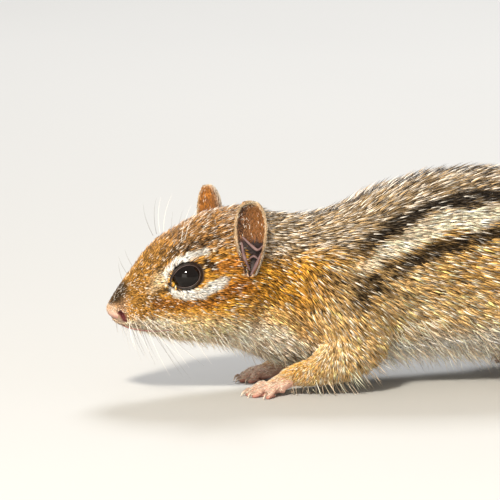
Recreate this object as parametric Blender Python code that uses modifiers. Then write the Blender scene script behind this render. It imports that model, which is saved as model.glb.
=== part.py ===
"""A life-size eastern chipmunk, crouched on all fours with its head stretched forward.

The animal faces -X and stands on the plane z = 0. Its left side is towards -Y. Sizes below are in
millimetres, measured from the tip of the nose (x), the middle plane (y) and the ground (z). At the
end everything is shifted so that the origin lies under the middle of the bounding box.
"""

import math
from collections import namedtuple

import bmesh
import bpy
import numpy as np

MM = 0.001
GAP = 0.3
LEFT, RIGHT = -1, 1
SIDES = (("left", LEFT), ("right", RIGHT))

# Sections of the trunk: x behind the nose, heights of back, underside and widest line, half width.
Section = namedtuple("Section", "place x top bottom widest half_width")
TRUNK = (
    Section("nose tip", 0.5, 22.6, 20.6, 21.4, 1.3),
    Section("nose pad", 1.4, 23.9, 18.9, 21.0, 2.5),
    Section("lip", 4.2, 27.7, 17.0, 20.6, 4.1),
    Section("whisker pads", 7.6, 32.2, 15.9, 21.2, 5.7),
    Section("bridge", 10.8, 36.0, 14.9, 22.6, 7.2),
    Section("front of eyes", 14.0, 38.4, 13.9, 24.2, 8.9),
    Section("brow", 18.0, 40.5, 13.0, 25.2, 10.2),
    Section("cheek", 23.5, 42.9, 12.3, 25.0, 11.6),
    Section("crown", 30.0, 44.3, 11.2, 24.6, 12.3),
    Section("behind ears", 36.0, 43.9, 8.9, 24.0, 12.6),
    Section("nape", 42.0, 42.1, 6.7, 23.6, 13.2),
    Section("withers", 50.0, 41.2, 6.0, 23.4, 15.2),
    Section("shoulder", 58.0, 42.4, 6.2, 23.8, 17.0),
    Section("chest", 67.0, 46.2, 6.6, 25.0, 18.2),
    Section("ribs", 78.0, 49.2, 7.1, 26.4, 19.4),
    Section("loin", 92.0, 50.5, 6.4, 26.4, 20.6),
    Section("flank", 105.0, 48.8, 7.2, 26.4, 20.8),
    Section("hips", 118.0, 43.6, 10.4, 26.0, 18.8),
    Section("rump", 128.0, 36.2, 15.6, 25.0, 13.6),
    Section("tail root", 135.0, 29.6, 17.6, 23.4, 6.8),
    Section("under tail", 141.0, 24.6, 15.8, 20.2, 4.6),
)
TRUNK_RINGS = 120
TRUNK_SIDES = 72
BACK_ROUNDNESS = 2.1
BELLY_ROUNDNESS = 2.3

# The head is turned a little towards the left about a pivot in the neck.
HEAD_TURN = math.radians(6.0)
TURN_PIVOT_X = 46.0
TURN_FULL_X = 32.0

# Soft bulges and hollows pressed into the fused body on both sides: centre, reach and push.
Bulge = namedtuple("Bulge", "place centre reach push")
BULGES = (
    Bulge("whisker pad", (6.6, 4.9, 19.4), 2.6, (-0.3, 0.8, 0.0)),
    Bulge("bridge side", (8.4, 4.9, 26.6), 2.6, (0.0, -0.7, -0.2)),
    Bulge("before eye", (11.8, 7.4, 28.6), 2.6, (0.0, -0.7, 0.0)),
    Bulge("brow", (16.4, 7.8, 35.2), 3.4, (0.0, 0.7, 0.5)),
    Bulge("cheek bone", (20.0, 10.8, 24.0), 4.0, (0.0, 0.5, 0.0)),
    Bulge("cheek pouch", (27.0, 12.2, 19.5), 6.0, (0.0, 1.2, -0.4)),
    Bulge("behind jaw", (37.0, 12.0, 20.0), 5.0, (0.0, -0.9, 0.0)),
    Bulge("ear seat", (32.0, 9.6, 33.6), 4.0, (0.0, 0.4, 0.1)),
    Bulge("temple", (24.0, 8.6, 37.0), 4.5, (0.0, -0.5, 0.0)),
    Bulge("shoulder blade", (54.0, 12.5, 33.0), 8.0, (0.0, 1.2, 0.6)),
    Bulge("behind elbow", (74.0, 19.0, 16.0), 7.0, (0.0, -1.4, 0.4)),
    Bulge("waist", (88.0, 20.5, 26.0), 8.0, (0.0, -0.8, 0.0)),
)

# Limbs: paths of (x, distance from the middle plane, z) with (across, upright) half thickness.
Limb = namedtuple("Limb", "path thickness")
UPPER_ARM = Limb(
    ((51.0, 9.5, 27.0), (55.6, 13.5, 20.5), (60.8, 16.2, 13.4)),
    ((8.0, 9.5), (7.0, 8.2), (5.4, 5.8)),
)
FOREARM = Limb(
    ((60.8, 16.2, 12.6), (55.5, 15.2, 8.7), (49.0, 13.5, 5.8), (42.5, 11.8, 4.3)),
    ((5.4, 5.8), (5.0, 5.4), (3.6, 3.7), (2.4, 2.3)),
)
THIGH = Limb(
    ((119.0, 9.5, 30.0), (110.0, 15.0, 26.0), (99.5, 18.6, 18.5)),
    ((11.0, 12.0), (9.0, 10.5), (6.2, 7.0)),
)
SHANK = Limb(
    ((99.5, 18.6, 17.0), (108.0, 18.5, 13.0), (115.5, 18.2, 9.8), (121.5, 18.0, 6.4)),
    ((6.0, 6.2), (5.2, 5.4), (3.7, 3.7), (2.8, 2.7)),
)
# The right legs stand further back: how far their feet lie behind and inwards of the left ones.
FAR_FORE_STRIDE = (5.4, -2.2)
FAR_HIND_STRIDE = (8.5, -2.0)
STRIDE_HEIGHT = 30.0

BODY_VOXEL = 0.75
SMOOTHING_ROUNDS = 10

# Planes that part the body, as a point and a direction towards the tail.
NECK_FRONT = ((38.5, 0.0, 25.0), (1.0, 0.0, -0.24))
NECK_BACK = ((50.0, 0.0, 25.0), (1.0, 0.0, -0.14))
TAIL_ROOT = ((135.0, 0.0, 24.0), (1.0, 0.0, -0.45))
ELBOW = ((60.4, 16.0, 12.6), (-0.35, 0.0, -0.94))
WRIST_PLANE = ((43.6, 12.0, 4.0), (-1.0, 0.0, -0.25))
KNEE = ((99.0, 18.0, 16.2), (0.0, 0.0, -1.0))
ANKLE = ((118.6, 18.1, 8.1), (0.82, 0.0, -0.57))
GROUND = ((0.0, 0.0, 0.0), (0.0, 0.0, -1.0))
CUT_REACH = 300.0

# Volumes that hold each leg where it leaves the trunk, as its upper and its lower length.
ARM_REGION = (
    Limb(((49.5, 21.5, 31.0), (56.0, 22.5, 20.0), (62.5, 22.5, 11.0)), ((9.6, 8.2), (10.5, 9.0), (9.0, 7.6))),
    Limb(((63.0, 21.5, 10.0), (51.0, 17.5, 5.0), (38.0, 13.0, 0.5)), ((9.0, 7.8), (8.4, 7.4), (7.5, 7.0))),
)
LEG_REGION = (
    Limb(
        ((118.0, 24.0, 31.0), (107.0, 25.0, 24.0), (98.0, 25.5, 15.0)),
        ((11.5, 12.5), (11.0, 12.0), (9.6, 9.6)),
    ),
    Limb(((98.0, 25.0, 14.0), (112.0, 24.0, 8.0), (128.0, 22.0, 2.0)), ((9.6, 9.6), (9.6, 9.0), (9.0, 8.5))),
)

# Eyes: the ball, the socket that it sits in, the lids over it and the opening between them.
EYE_CENTRE = (16.9, 7.35, 29.8)
EYE_AXIS = (-0.34, 0.93, 0.13)
EYE_RADIUS = 3.7
LID_THICKNESS = 0.55
LID_OPENING = (3.55, 2.95)
LID_TILT = math.radians(20.0)
LID_CORNER = 0.75

# Ears: an oval cup that leans outwards and opens forwards and to the side.
EAR_ROOT = (32.5, 11.6, 29.4)
EAR_TIP = (31.2, 14.0, 47.2)
EAR_HALF_WIDTH = 4.9
EAR_FACING = math.radians(40.0)
EAR_CUP = 4.2
EAR_THICKNESS = 0.75

# Nose: a pad bent round the tip of the snout, and a curled slit on each side of it.
NOSE_PAD = Limb(
    ((3.3, -2.0, 20.1), (2.4, -1.4, 20.8), (1.9, 0.0, 21.2), (2.4, 1.4, 20.8), (3.3, 2.0, 20.1)),
    ((0.9, 1.4), (1.25, 1.7), (1.5, 1.85), (1.25, 1.7), (0.9, 1.4)),
)
NOSTRIL = Limb(
    ((2.1, 2.7, 21.2), (2.8, 3.2, 20.8), (3.2, 3.4, 19.7), (3.5, 3.4, 18.6)),
    ((0.3, 0.3), (0.45, 0.42), (0.42, 0.4), (0.25, 0.25)),
)
MOUTH_LINE = ((2.9, 0.0, 17.9), (4.2, 2.4, 16.9), (7.2, 4.2, 16.3), (10.4, 5.6, 16.1), (13.4, 6.9, 16.4))
MOUTH_RADIUS = 0.34

# Feet, in their own frame: forwards from the wrist or heel, outwards, and up from the ground.
Digit = namedtuple("Digit", "base angle length")
FORE_DIGITS = (
    Digit((5.9, -2.1), -12.0, 4.6),
    Digit((6.3, -0.6), -3.0, 5.3),
    Digit((5.9, 0.9), 8.0, 4.9),
    Digit((3.9, 2.1), 28.0, 4.7),
)
FORE_PALM = Limb(
    ((-2.0, 0.0, 4.9), (0.6, 0.0, 4.2), (3.6, 0.0, 2.9), (6.4, -0.1, 2.0)),
    ((2.2, 2.1), (2.3, 2.0), (2.8, 1.9), (2.7, 1.5)),
)
HIND_DIGITS = (
    Digit((16.8, -2.9), -20.0, 4.6),
    Digit((20.6, -2.3), -8.0, 7.0),
    Digit((21.3, -0.7), -2.0, 7.6),
    Digit((21.0, 0.9), 4.0, 7.3),
    Digit((18.2, 2.4), 13.0, 6.2),
)
HIND_SOLE = Limb(
    ((1.2, 0.0, 3.1), (7.0, 0.0, 2.8), (14.5, 0.0, 2.5), (20.8, -0.1, 2.1)),
    ((2.3, 2.6), (2.2, 2.2), (3.0, 2.0), (3.4, 1.6)),
)
HIND_ANKLE = Limb(
    ((9.0, 0.1, 10.6), (5.6, 0.1, 7.8), (2.6, 0.0, 4.6)),
    ((3.0, 2.9), (2.7, 2.7), (2.3, 2.5)),
)
DIGIT_THICKNESS = 0.88
FOOT_SUNK = 0.4
DIGIT_KNUCKLE = 2.7
CLAW_LENGTH = 2.0
CLAW_THICKNESS = 0.42
FORE_TURN = math.radians(6.0)
HIND_TURN = math.radians(-4.0)
HEEL = (125.0, 18.0)
WRIST = (43.6, 11.9)

# Tail: the path of its middle and the half thickness across and upright, out to the hair's ends.
TAIL = Limb(
    (
        (130.0, 0.0, 25.2), (138.0, 0.2, 21.4), (147.0, 0.9, 15.8), (157.0, 1.4, 10.2),
        (169.0, 1.0, 6.5), (183.0, -1.4, 5.3), (198.0, -5.2, 4.9), (212.0, -8.8, 4.4), (222.0, -11.2, 2.7),
    ),
    (
        (7.0, 6.4), (6.9, 6.0), (7.0, 5.6), (7.6, 5.5),
        (8.0, 5.5), (8.0, 5.5), (7.4, 5.1), (5.8, 4.4), (2.6, 2.6),
    ),
)
TAIL_STATIONS = np.linspace(0, 1, len(TAIL.path))
TAIL_CUTS = (0.33, 0.64)
CORE_SHARE = 0.47
CORE_END = 0.9

# The long hair of the tail, as flat locks that lie backwards over one another.
LOCK_ROWS = np.linspace(0.012, 0.88, 12)
LOCKS_ROUND = 7
LOCK_LENGTHS = (10.5, 12.5, 13.5, 13.0, 10.5)
LOCK_HALF_WIDTH = 2.3
LOCK_RIDGE = 0.8
LOCK_PROFILE = ((0.0, 0.75, 1.0), (0.36, 1.0, 1.0), (0.72, 0.72, 0.8), (1.0, 0.08, 0.25))
LOCK_UNEVENNESS = 0.12
LOCK_SEED = 7

# Triangles that each node keeps of the fine surface.
HEAD_FACES = 1420
NECK_FACES = 400
TORSO_FACES = 1150
FORELEG_FACES = 440
HINDLEG_FACES = 500

# Colour, roughness of each finish.
FINISHES = {
    "ticked_coat": ((0.43, 0.27, 0.12), 0.8),
    "golden_coat": ((0.58, 0.38, 0.17), 0.8),
    "foot_skin": ((0.66, 0.45, 0.33), 0.7),
    "ear_skin": ((0.45, 0.30, 0.20), 0.75),
    "tail_coat": ((0.30, 0.19, 0.10), 0.85),
    "eye_glass": ((0.015, 0.011, 0.010), 0.08),
}


def clear_scene():
    for old in list(bpy.data.objects):
        bpy.data.objects.remove(old)


def finish(name):
    """The Principled material of that name."""
    material = bpy.data.materials.get(name)
    if material is None:
        material = bpy.data.materials.new(name)
        material.use_nodes = True
        colour, roughness = FINISHES[name]
        shader = material.node_tree.nodes["Principled BSDF"]
        shader.inputs["Base Color"].default_value = (*colour, 1.0)
        shader.inputs["Roughness"].default_value = roughness
        shader.inputs["Metallic"].default_value = 0.0
    return material


def add_object(name, points, faces):
    """An object of these points, given in millimetres."""
    mesh = bpy.data.meshes.new(name)
    mesh.from_pydata((np.asarray(points, float) * MM).tolist(), [], [tuple(f) for f in faces])
    obj = bpy.data.objects.new(name, mesh)
    bpy.context.scene.collection.objects.link(obj)
    return obj


def points_of(obj):
    points = np.empty(len(obj.data.vertices) * 3)
    obj.data.vertices.foreach_get("co", points)
    return points.reshape(-1, 3) / MM


def set_points(obj, points):
    obj.data.vertices.foreach_set("co", (points * MM).ravel())
    obj.data.update()


def through(at, stations, values):
    """A smooth curve through the values, read at these places."""
    xs, ys = np.asarray(stations, float), np.asarray(values, float)
    slopes = np.gradient(ys, xs, axis=0)
    i = np.clip(np.searchsorted(xs, at, side="right") - 1, 0, len(xs) - 2)
    width = xs[i + 1] - xs[i]
    t = (at - xs[i]) / width
    if ys.ndim > 1:
        t, width = t[:, None], width[:, None]
    rise = t * t * (3 - 2 * t)
    leave = width * t * (1 - t) ** 2
    arrive = width * t * t * (t - 1)
    return ys[i] * (1 - rise) + ys[i + 1] * rise + slopes[i] * leave + slopes[i + 1] * arrive


def tube(name, rings):
    """A closed body with these rings of points, its two ends closed by fans of triangles."""
    count, sides = rings.shape[:2]
    points = np.concatenate([rings.reshape(-1, 3), rings[[0, -1]].mean(axis=1)])
    here = np.arange(count * sides).reshape(count, sides)
    after = np.roll(here, -1, axis=1)
    walls = np.stack([here[:-1], after[:-1], after[1:], here[1:]], axis=-1).reshape(-1, 4)
    first, last = count * sides, count * sides + 1
    faces = [tuple(f) for f in walls]
    faces += [(first, b, a) for a, b in zip(here[0], after[0])]
    faces += [(last, a, b) for a, b in zip(here[-1], after[-1])]
    obj = add_object(name, points, faces)
    face_outwards(obj)
    return obj


def face_outwards(obj):
    mesh = bmesh.new()
    mesh.from_mesh(obj.data)
    bmesh.ops.recalc_face_normals(mesh, faces=mesh.faces)
    mesh.to_mesh(obj.data)
    mesh.free()


def unit(vectors):
    return vectors / np.maximum(np.linalg.norm(vectors, axis=-1, keepdims=True), 1e-9)


def frames(centres, up=(0.0, 0.0, 1.0)):
    """Along, across and upright directions at each point of a path."""
    along = unit(np.gradient(centres, axis=0))
    across = unit(np.cross(along, np.asarray(up, float)))
    return along, across, np.cross(across, along)


def sweep(name, path, thickness, steps=14, sides=16, domes=3, up=(0.0, 0.0, 1.0)):
    """A tube of oval section along a smooth path, with rounded ends."""
    stations = np.linspace(0, 1, len(path))
    at = np.linspace(0, 1, steps)
    centres = through(at, stations, path)
    radii = through(at, stations, thickness)
    along, across, upright = frames(centres, up)
    if domes:
        bend = np.arange(domes, 0, -1) / (domes + 0.6) * math.pi / 2
        reach = radii.mean(axis=1)
        ends = []
        for end, sign, turn in ((0, -1, bend), (-1, 1, bend[::-1])):
            shift = sign * reach[end] * np.sin(turn)[:, None] * along[end]
            ends.append((centres[end] + shift, radii[end] * np.cos(turn)[:, None]))
        centres = np.concatenate([ends[0][0], centres, ends[1][0]])
        radii = np.concatenate([ends[0][1], radii, ends[1][1]])
        across = np.concatenate([across[[0] * domes], across, across[[-1] * domes]])
        upright = np.concatenate([upright[[0] * domes], upright, upright[[-1] * domes]])
    angle = np.arange(sides) / sides * 2 * math.pi
    rings = (
        centres[:, None]
        + across[:, None] * (radii[:, :1] * np.cos(angle))[..., None]
        + upright[:, None] * (radii[:, 1:] * np.sin(angle))[..., None]
    )
    return tube(name, rings)


def on_side(points, side):
    """Points given by their distance from the middle plane, on one side of it."""
    moved = np.array(points, float)
    moved[..., 1] *= side
    return moved


def stepped(points, side, stride):
    """Points of a leg on one side; the right leg leans so that its foot is a stride away."""
    moved = np.array(points, float)
    if side == RIGHT:
        share = 1 - np.clip(moved[..., 2] / STRIDE_HEIGHT, 0, 1)
        moved[..., 0] += share * stride[0]
        moved[..., 1] += share * stride[1]
    return on_side(moved, side)


def turned(points):
    """Points of the head, swung about the pivot in the neck."""
    points = np.array(points, float)
    share = np.clip((TURN_PIVOT_X - points[..., 0]) / (TURN_PIVOT_X - TURN_FULL_X), 0, 1)
    angle = HEAD_TURN * share * share * (3 - 2 * share)
    forward, aside = points[..., 0] - TURN_PIVOT_X, points[..., 1].copy()
    points[..., 0] = TURN_PIVOT_X + forward * np.cos(angle) - aside * np.sin(angle)
    points[..., 1] = forward * np.sin(angle) + aside * np.cos(angle)
    return points


def turned_direction(direction):
    x, y, z = direction
    c, s = math.cos(HEAD_TURN), math.sin(HEAD_TURN)
    return np.array((x * c - y * s, x * s + y * c, z))


def evaluated_mesh(obj):
    bpy.context.view_layer.update()
    return bpy.data.meshes.new_from_object(obj.evaluated_get(bpy.context.evaluated_depsgraph_get()))


def apply_modifiers(obj):
    mesh = evaluated_mesh(obj)
    obj.modifiers.clear()
    obj.data = mesh


def copy_of(obj, name):
    copy = bpy.data.objects.new(name, obj.data.copy())
    bpy.context.scene.collection.objects.link(copy)
    return copy


def discard(*objects):
    for obj in objects:
        bpy.data.objects.remove(obj)


def boolean(obj, other, operation):
    modifier = obj.modifiers.new(operation.lower(), "BOOLEAN")
    modifier.operation = operation
    modifier.object = other
    modifier.solver = "MANIFOLD"
    apply_modifiers(obj)


def fuse(name, pieces):
    """One closed body out of overlapping closed pieces."""
    base, others = pieces[0], pieces[1:]
    group = bpy.data.collections.new(name + "_pieces")
    for piece in others:
        group.objects.link(piece)
    modifier = base.modifiers.new("fuse", "BOOLEAN")
    modifier.operation = "UNION"
    modifier.operand_type = "COLLECTION"
    modifier.collection = group
    modifier.solver = "MANIFOLD"
    apply_modifiers(base)
    discard(*others)
    bpy.data.collections.remove(group)
    base.name = name
    return base


def keep_largest(obj):
    """Drops every closed surface of the mesh but the largest."""
    mesh = bmesh.new()
    mesh.from_mesh(obj.data)
    left, shells = set(mesh.verts), []
    while left:
        shell, front = set(), [left.pop()]
        while front:
            vert = front.pop()
            shell.add(vert)
            near = {edge.other_vert(vert) for edge in vert.link_edges} & left
            left -= near
            front += near
        shells.append(shell)
    shells.sort(key=shell_size)
    for shell in shells[:-1]:
        bmesh.ops.delete(mesh, geom=list(shell), context="VERTS")
    mesh.to_mesh(obj.data)
    mesh.free()


def shell_size(shell):
    lows = [min(vert.co[axis] for vert in shell) for axis in range(3)]
    highs = [max(vert.co[axis] for vert in shell) for axis in range(3)]
    return math.dist(lows, highs)


def cut_beyond(obj, plane, gap=0.0):
    """Takes away all that lies beyond a plane, and half the gap before it."""
    point, direction = np.array(plane[0]), unit(np.array(plane[1]))
    side_way = unit(np.cross(direction, (0.31, 0.94, 0.15)))
    other_way = np.cross(direction, side_way)
    near = point - direction * gap / 2
    square = [a * side_way + b * other_way for a, b in ((-1, -1), (1, -1), (1, 1), (-1, 1))]
    face = near + np.array(square) * CUT_REACH
    cutter = tube("beyond", np.stack([face, face + direction * CUT_REACH]))
    boolean(obj, cutter, "DIFFERENCE")
    discard(cutter)


def facing_back(plane):
    return plane[0], tuple(-c for c in plane[1])


def part_between(obj, front=None, back=None):
    """Keeps what lies between two planes that both point away from the nose or root."""
    if front:
        cut_beyond(obj, facing_back(front), GAP)
    if back:
        cut_beyond(obj, back, GAP)


def reduce_faces(obj, faces):
    mesh = bmesh.new()
    mesh.from_mesh(obj.data)
    bmesh.ops.triangulate(mesh, faces=mesh.faces)
    mesh.to_mesh(obj.data)
    mesh.free()
    modifier = obj.modifiers.new("reduce", "DECIMATE")
    modifier.ratio = min(1.0, faces / max(len(obj.data.polygons), 1))
    apply_modifiers(obj)


def inflated(obj, name, by):
    """A copy of the object, grown along its normals."""
    grown = copy_of(obj, name)
    points = points_of(grown)
    normals = np.empty(len(points) * 3)
    grown.data.vertices.foreach_get("normal", normals)
    set_points(grown, points + normals.reshape(-1, 3) * by)
    return grown


def trunk():
    """Head, neck and body as one loft of rounded sections from nose to tail root."""
    stations = [s.x for s in TRUNK]
    share = np.linspace(0, 1, TRUNK_RINGS)
    x = stations[0] + (stations[-1] - stations[0]) * share**1.35
    sizes = [(s.top, s.bottom, s.widest, s.half_width) for s in TRUNK]
    top, bottom, widest, half_width = through(x, stations, sizes).T[..., None]
    angle = np.arange(TRUNK_SIDES) / TRUNK_SIDES * 2 * math.pi
    cosine, sine = np.cos(angle), np.sin(angle)
    power = np.where(sine > 0, 2 / BACK_ROUNDNESS, 2 / BELLY_ROUNDNESS)
    out = np.sign(cosine) * np.abs(cosine) ** power
    rise = np.abs(sine) ** power
    y = half_width * out
    z = np.where(sine > 0, widest + (top - widest) * rise, widest - (widest - bottom) * rise)
    rings = np.stack([np.broadcast_to(x[:, None], y.shape), y, z], axis=-1)
    return tube("trunk", rings)


def pressed(points):
    """The fused body with its bulges and hollows."""
    for bulge in BULGES:
        for _, side in SIDES:
            centre = on_side(bulge.centre, side)
            push = on_side(bulge.push, side)
            apart = np.linalg.norm(points - centre, axis=1) / bulge.reach
            points = points + np.exp(-apart * apart)[:, None] * push
    return points


def fine_body():
    """Trunk and legs fused, smoothed and shaped, before it is parted into its nodes."""
    pieces = [trunk()]
    lengths = [(limb, FAR_FORE_STRIDE) for limb in (UPPER_ARM, FOREARM)]
    lengths += [(limb, FAR_HIND_STRIDE) for limb in (THIGH, SHANK)]
    for label, side in SIDES:
        for limb, stride in lengths:
            pieces.append(sweep("limb_" + label, stepped(limb.path, side, stride), limb.thickness, sides=24))
    body = fuse("body", pieces)
    remesh = body.modifiers.new("even", "REMESH")
    remesh.mode = "VOXEL"
    remesh.voxel_size = BODY_VOXEL * MM
    smooth = body.modifiers.new("soften", "SMOOTH")
    smooth.factor = 0.5
    smooth.iterations = SMOOTHING_ROUNDS
    apply_modifiers(body)
    set_points(body, turned(pressed(points_of(body))))
    return body


def crop(body, name, low_x, high_x, side=0, inner=0.0):
    """A copy of the fine body cut down to a slab, and to one side of the middle plane."""
    part = copy_of(body, name)
    if low_x is not None:
        cut_beyond(part, ((low_x, 0, 25), (-1, 0, 0)))
    if high_x is not None:
        cut_beyond(part, ((high_x, 0, 25), (1, 0, 0)))
    if side:
        cut_beyond(part, ((0, side * inner, 25), (0, -side, 0)))
    return part


def region(spec, side, grow):
    """The volume round one leg, grown by part of the gap."""
    lengths = []
    for limb in spec.region:
        path, thickness = stepped(limb.path, side, spec.stride), np.array(limb.thickness) + grow
        lengths.append(sweep("region", path, thickness, steps=6, sides=12, domes=2))
    return fuse("region", lengths)


def stepped_plane(plane, side, stride):
    return stepped(plane[0], side, stride), plane[1]


def leg_parts(body, label, side, spec):
    """The two lengths of one leg, cut out of the fine body by the volume round that leg."""
    part = crop(body, "leg", *spec.slab, side, spec.inner)
    reduce_faces(part, spec.faces)
    cutter = region(spec, side, -GAP / 2)
    boolean(part, cutter, "INTERSECT")
    discard(cutter)
    keep_largest(part)
    upper, lower = part, copy_of(part, spec.lower + "_" + label)
    upper.name = spec.upper + "_" + label
    split = stepped_plane(spec.split, side, spec.stride)
    part_between(upper, back=split)
    part_between(lower, front=split, back=stepped_plane(spec.end, side, spec.stride))
    for piece in (upper, lower):
        keep_largest(piece)
        piece.data.materials.append(finish("golden_coat"))


LegSpec = namedtuple("LegSpec", "upper lower region stride slab inner faces split end")
FORELEG = LegSpec(
    "upper_arm", "forearm", ARM_REGION, FAR_FORE_STRIDE, (34.0, 84.0), 4.0,
    FORELEG_FACES, ELBOW, WRIST_PLANE,
)
HINDLEG = LegSpec(
    "thigh", "shank", LEG_REGION, FAR_HIND_STRIDE, (78.0, 140.0), 6.0,
    HINDLEG_FACES, KNEE, ANKLE,
)


def make_room(part, specs):
    """Takes the volumes round the legs out of a part of the trunk."""
    for _, side in SIDES:
        for spec in specs:
            cutter = region(spec, side, GAP / 2)
            boolean(part, cutter, "DIFFERENCE")
            discard(cutter)
    keep_largest(part)


def torso(body):
    part = crop(body, "torso", 44.0, 139.0)
    reduce_faces(part, TORSO_FACES)
    part_between(part, front=NECK_BACK, back=TAIL_ROOT)
    make_room(part, (FORELEG, HINDLEG))
    part.data.materials.append(finish("ticked_coat"))


def neck(body):
    part = crop(body, "neck", 30.0, 56.0)
    reduce_faces(part, NECK_FACES)
    part_between(part, front=NECK_FRONT, back=NECK_BACK)
    make_room(part, (FORELEG,))
    part.data.materials.append(finish("ticked_coat"))


def eye_frame(side):
    """Centre, outward axis, and the lid opening's long and short directions."""
    centre = turned(on_side(EYE_CENTRE, side))
    axis = unit(turned_direction(on_side(EYE_AXIS, side)))
    back = np.array((math.cos(LID_TILT), 0.0, math.sin(LID_TILT)))
    long_way = unit(back - axis * (back @ axis))
    return centre, axis, long_way, unit(np.cross(axis, long_way))


def ball(name, centre, radius, segments=14, rings=9):
    sphere = bmesh.new()
    bmesh.ops.create_uvsphere(sphere, u_segments=segments, v_segments=rings, radius=radius * MM)
    mesh = bpy.data.meshes.new(name)
    sphere.to_mesh(mesh)
    sphere.free()
    obj = bpy.data.objects.new(name, mesh)
    bpy.context.scene.collection.objects.link(obj)
    set_points(obj, points_of(obj) + centre)
    return obj


def lid_opening(side):
    """An almond-shaped prism that opens the lids; its front corner is drawn out."""
    centre, axis, long_way, short_way = eye_frame(side)
    angle = np.arange(28) / 28 * 2 * math.pi
    along = -np.cos(angle) * LID_OPENING[0]
    along -= LID_CORNER * np.clip(np.cos(angle), 0, 1) ** 5
    outline = along[:, None] * long_way + (np.sin(angle) * LID_OPENING[1])[:, None] * short_way
    near, far = centre + axis * 1.4 + outline * 0.9, centre + axis * 7.0 + outline * 1.15
    return tube("opening", np.stack([near, far]))


def nose_pieces():
    """The naked pad at the tip of the nose, and the cutters for its two nostrils."""
    pad = sweep("pad", turned(NOSE_PAD.path), NOSE_PAD.thickness, steps=8, sides=12, domes=2)
    nostrils = []
    for _, side in SIDES:
        curl = turned(on_side(NOSTRIL.path, side))
        nostrils.append(sweep("nostril", curl, NOSTRIL.thickness, steps=7, sides=8, domes=1))
    return pad, nostrils


def mouth_groove(part):
    """A thin cutter that follows the line of the mouth over the surface of the head."""
    half = through(np.linspace(0, 1, 9), np.linspace(0, 1, len(MOUTH_LINE)), MOUTH_LINE)
    line = turned(np.concatenate([half[:0:-1] * (1, -1, 1), half]))
    on_skin = []
    for point in line:
        hit, place, normal, _ = part.closest_point_on_mesh((point * MM).tolist())
        on_skin.append(np.array(place) / MM - np.array(normal) * 0.08)
    ends = np.linspace(-1, 1, len(on_skin))
    radius = MOUTH_RADIUS * (1.0 - 0.45 * np.abs(ends) ** 3)
    return sweep("mouth", on_skin, np.stack([radius, radius * 1.15], axis=1), steps=22, sides=6, domes=1)


def head(body):
    """The head with its sockets, lids, nostrils and the line of the mouth."""
    part = crop(body, "head", None, 46.0)
    reduce_faces(part, HEAD_FACES)
    part_between(part, back=NECK_FRONT)
    pad, nostrils = nose_pieces()
    lids = [ball("lid", eye_frame(side)[0], EYE_RADIUS + GAP + LID_THICKNESS) for _, side in SIDES]
    part = fuse("head", [part, pad, *lids])
    cutters = [ball("socket", eye_frame(side)[0], EYE_RADIUS + GAP) for _, side in SIDES]
    cutters += [lid_opening(side) for _, side in SIDES] + nostrils + [mouth_groove(part)]
    for cutter in cutters:
        boolean(part, cutter, "DIFFERENCE")
        discard(cutter)
    keep_largest(part)
    part.data.materials.append(finish("ticked_coat"))
    return part


def eyes():
    for label, side in SIDES:
        centre, axis, long_way, short_way = eye_frame(side)
        eye = ball("eye_" + label, (0, 0, 0), EYE_RADIUS, segments=12, rings=8)
        turn = np.stack([long_way, short_way, axis])
        set_points(eye, points_of(eye) @ turn + centre)
        face_outwards(eye)
        eye.data.materials.append(finish("eye_glass"))


def ear(label, side, skull):
    """One ear: an oval cup of even thickness whose root is cut along the head."""
    root, tip = on_side(EAR_ROOT, side), on_side(EAR_TIP, side)
    rise = tip - root
    height = np.linalg.norm(rise)
    up = rise / height
    facing = np.array((-math.sin(EAR_FACING), side * math.cos(EAR_FACING), 0.0))
    facing = unit(facing - up * (facing @ up))
    across = unit(np.cross(up, facing)) * side
    rows, columns = 12, 11
    turn = np.linspace(-math.pi / 2, math.pi / 2, rows)[:, None]
    b = 0.5 + 0.5 * np.sin(turn)
    a = np.linspace(-1, 1, columns)[None, :]
    half_width = EAR_HALF_WIDTH * np.maximum(np.cos(turn), 0.01) ** 0.8 * (0.93 + 0.14 * b)
    curl = math.radians(82) * (1 - 0.3 * b)
    bow = np.sin(a * curl) / np.sin(curl)
    depth = EAR_CUP * np.cos(a * curl) * np.cos(turn) ** 0.7 * (1 - 0.45 * b)
    points = (
        root
        + up * (b * height)[..., None]
        + across * (half_width * bow)[..., None]
        - facing * (depth - EAR_CUP * 0.5 + 1.4 * b**3)[..., None]
    )
    index = np.arange(rows * columns).reshape(rows, columns)
    quads = np.stack([index[:-1, :-1], index[:-1, 1:], index[1:, 1:], index[1:, :-1]], axis=-1)
    cup = add_object("ear_" + label, turned(points).reshape(-1, 3), quads.reshape(-1, 4))
    wall = cup.modifiers.new("wall", "SOLIDIFY")
    wall.thickness = EAR_THICKNESS * MM
    wall.offset = 0.0
    wall.use_even_offset = False
    apply_modifiers(cup)
    mesh = bmesh.new()
    mesh.from_mesh(cup.data)
    bmesh.ops.remove_doubles(mesh, verts=mesh.verts, dist=0.02 * MM)
    bmesh.ops.recalc_face_normals(mesh, faces=mesh.faces)
    mesh.to_mesh(cup.data)
    mesh.free()
    boolean(cup, skull, "DIFFERENCE")
    keep_largest(cup)
    cup.data.materials.append(finish("ear_skin"))
    return cup


def foot_frame(points, turn, place):
    """Points of a foot's own frame, set on the ground with the toes forward."""
    points = np.array(points, float)
    forward = np.array((-math.cos(turn), -math.sin(turn), 0.0))
    outward = np.array((-math.sin(turn), math.cos(turn), 0.0))
    base = np.array((*place, -FOOT_SUNK))
    return base + points[..., :1] * forward + points[..., 1:2] * outward + points[..., 2:] * (0, 0, 1)


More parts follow.
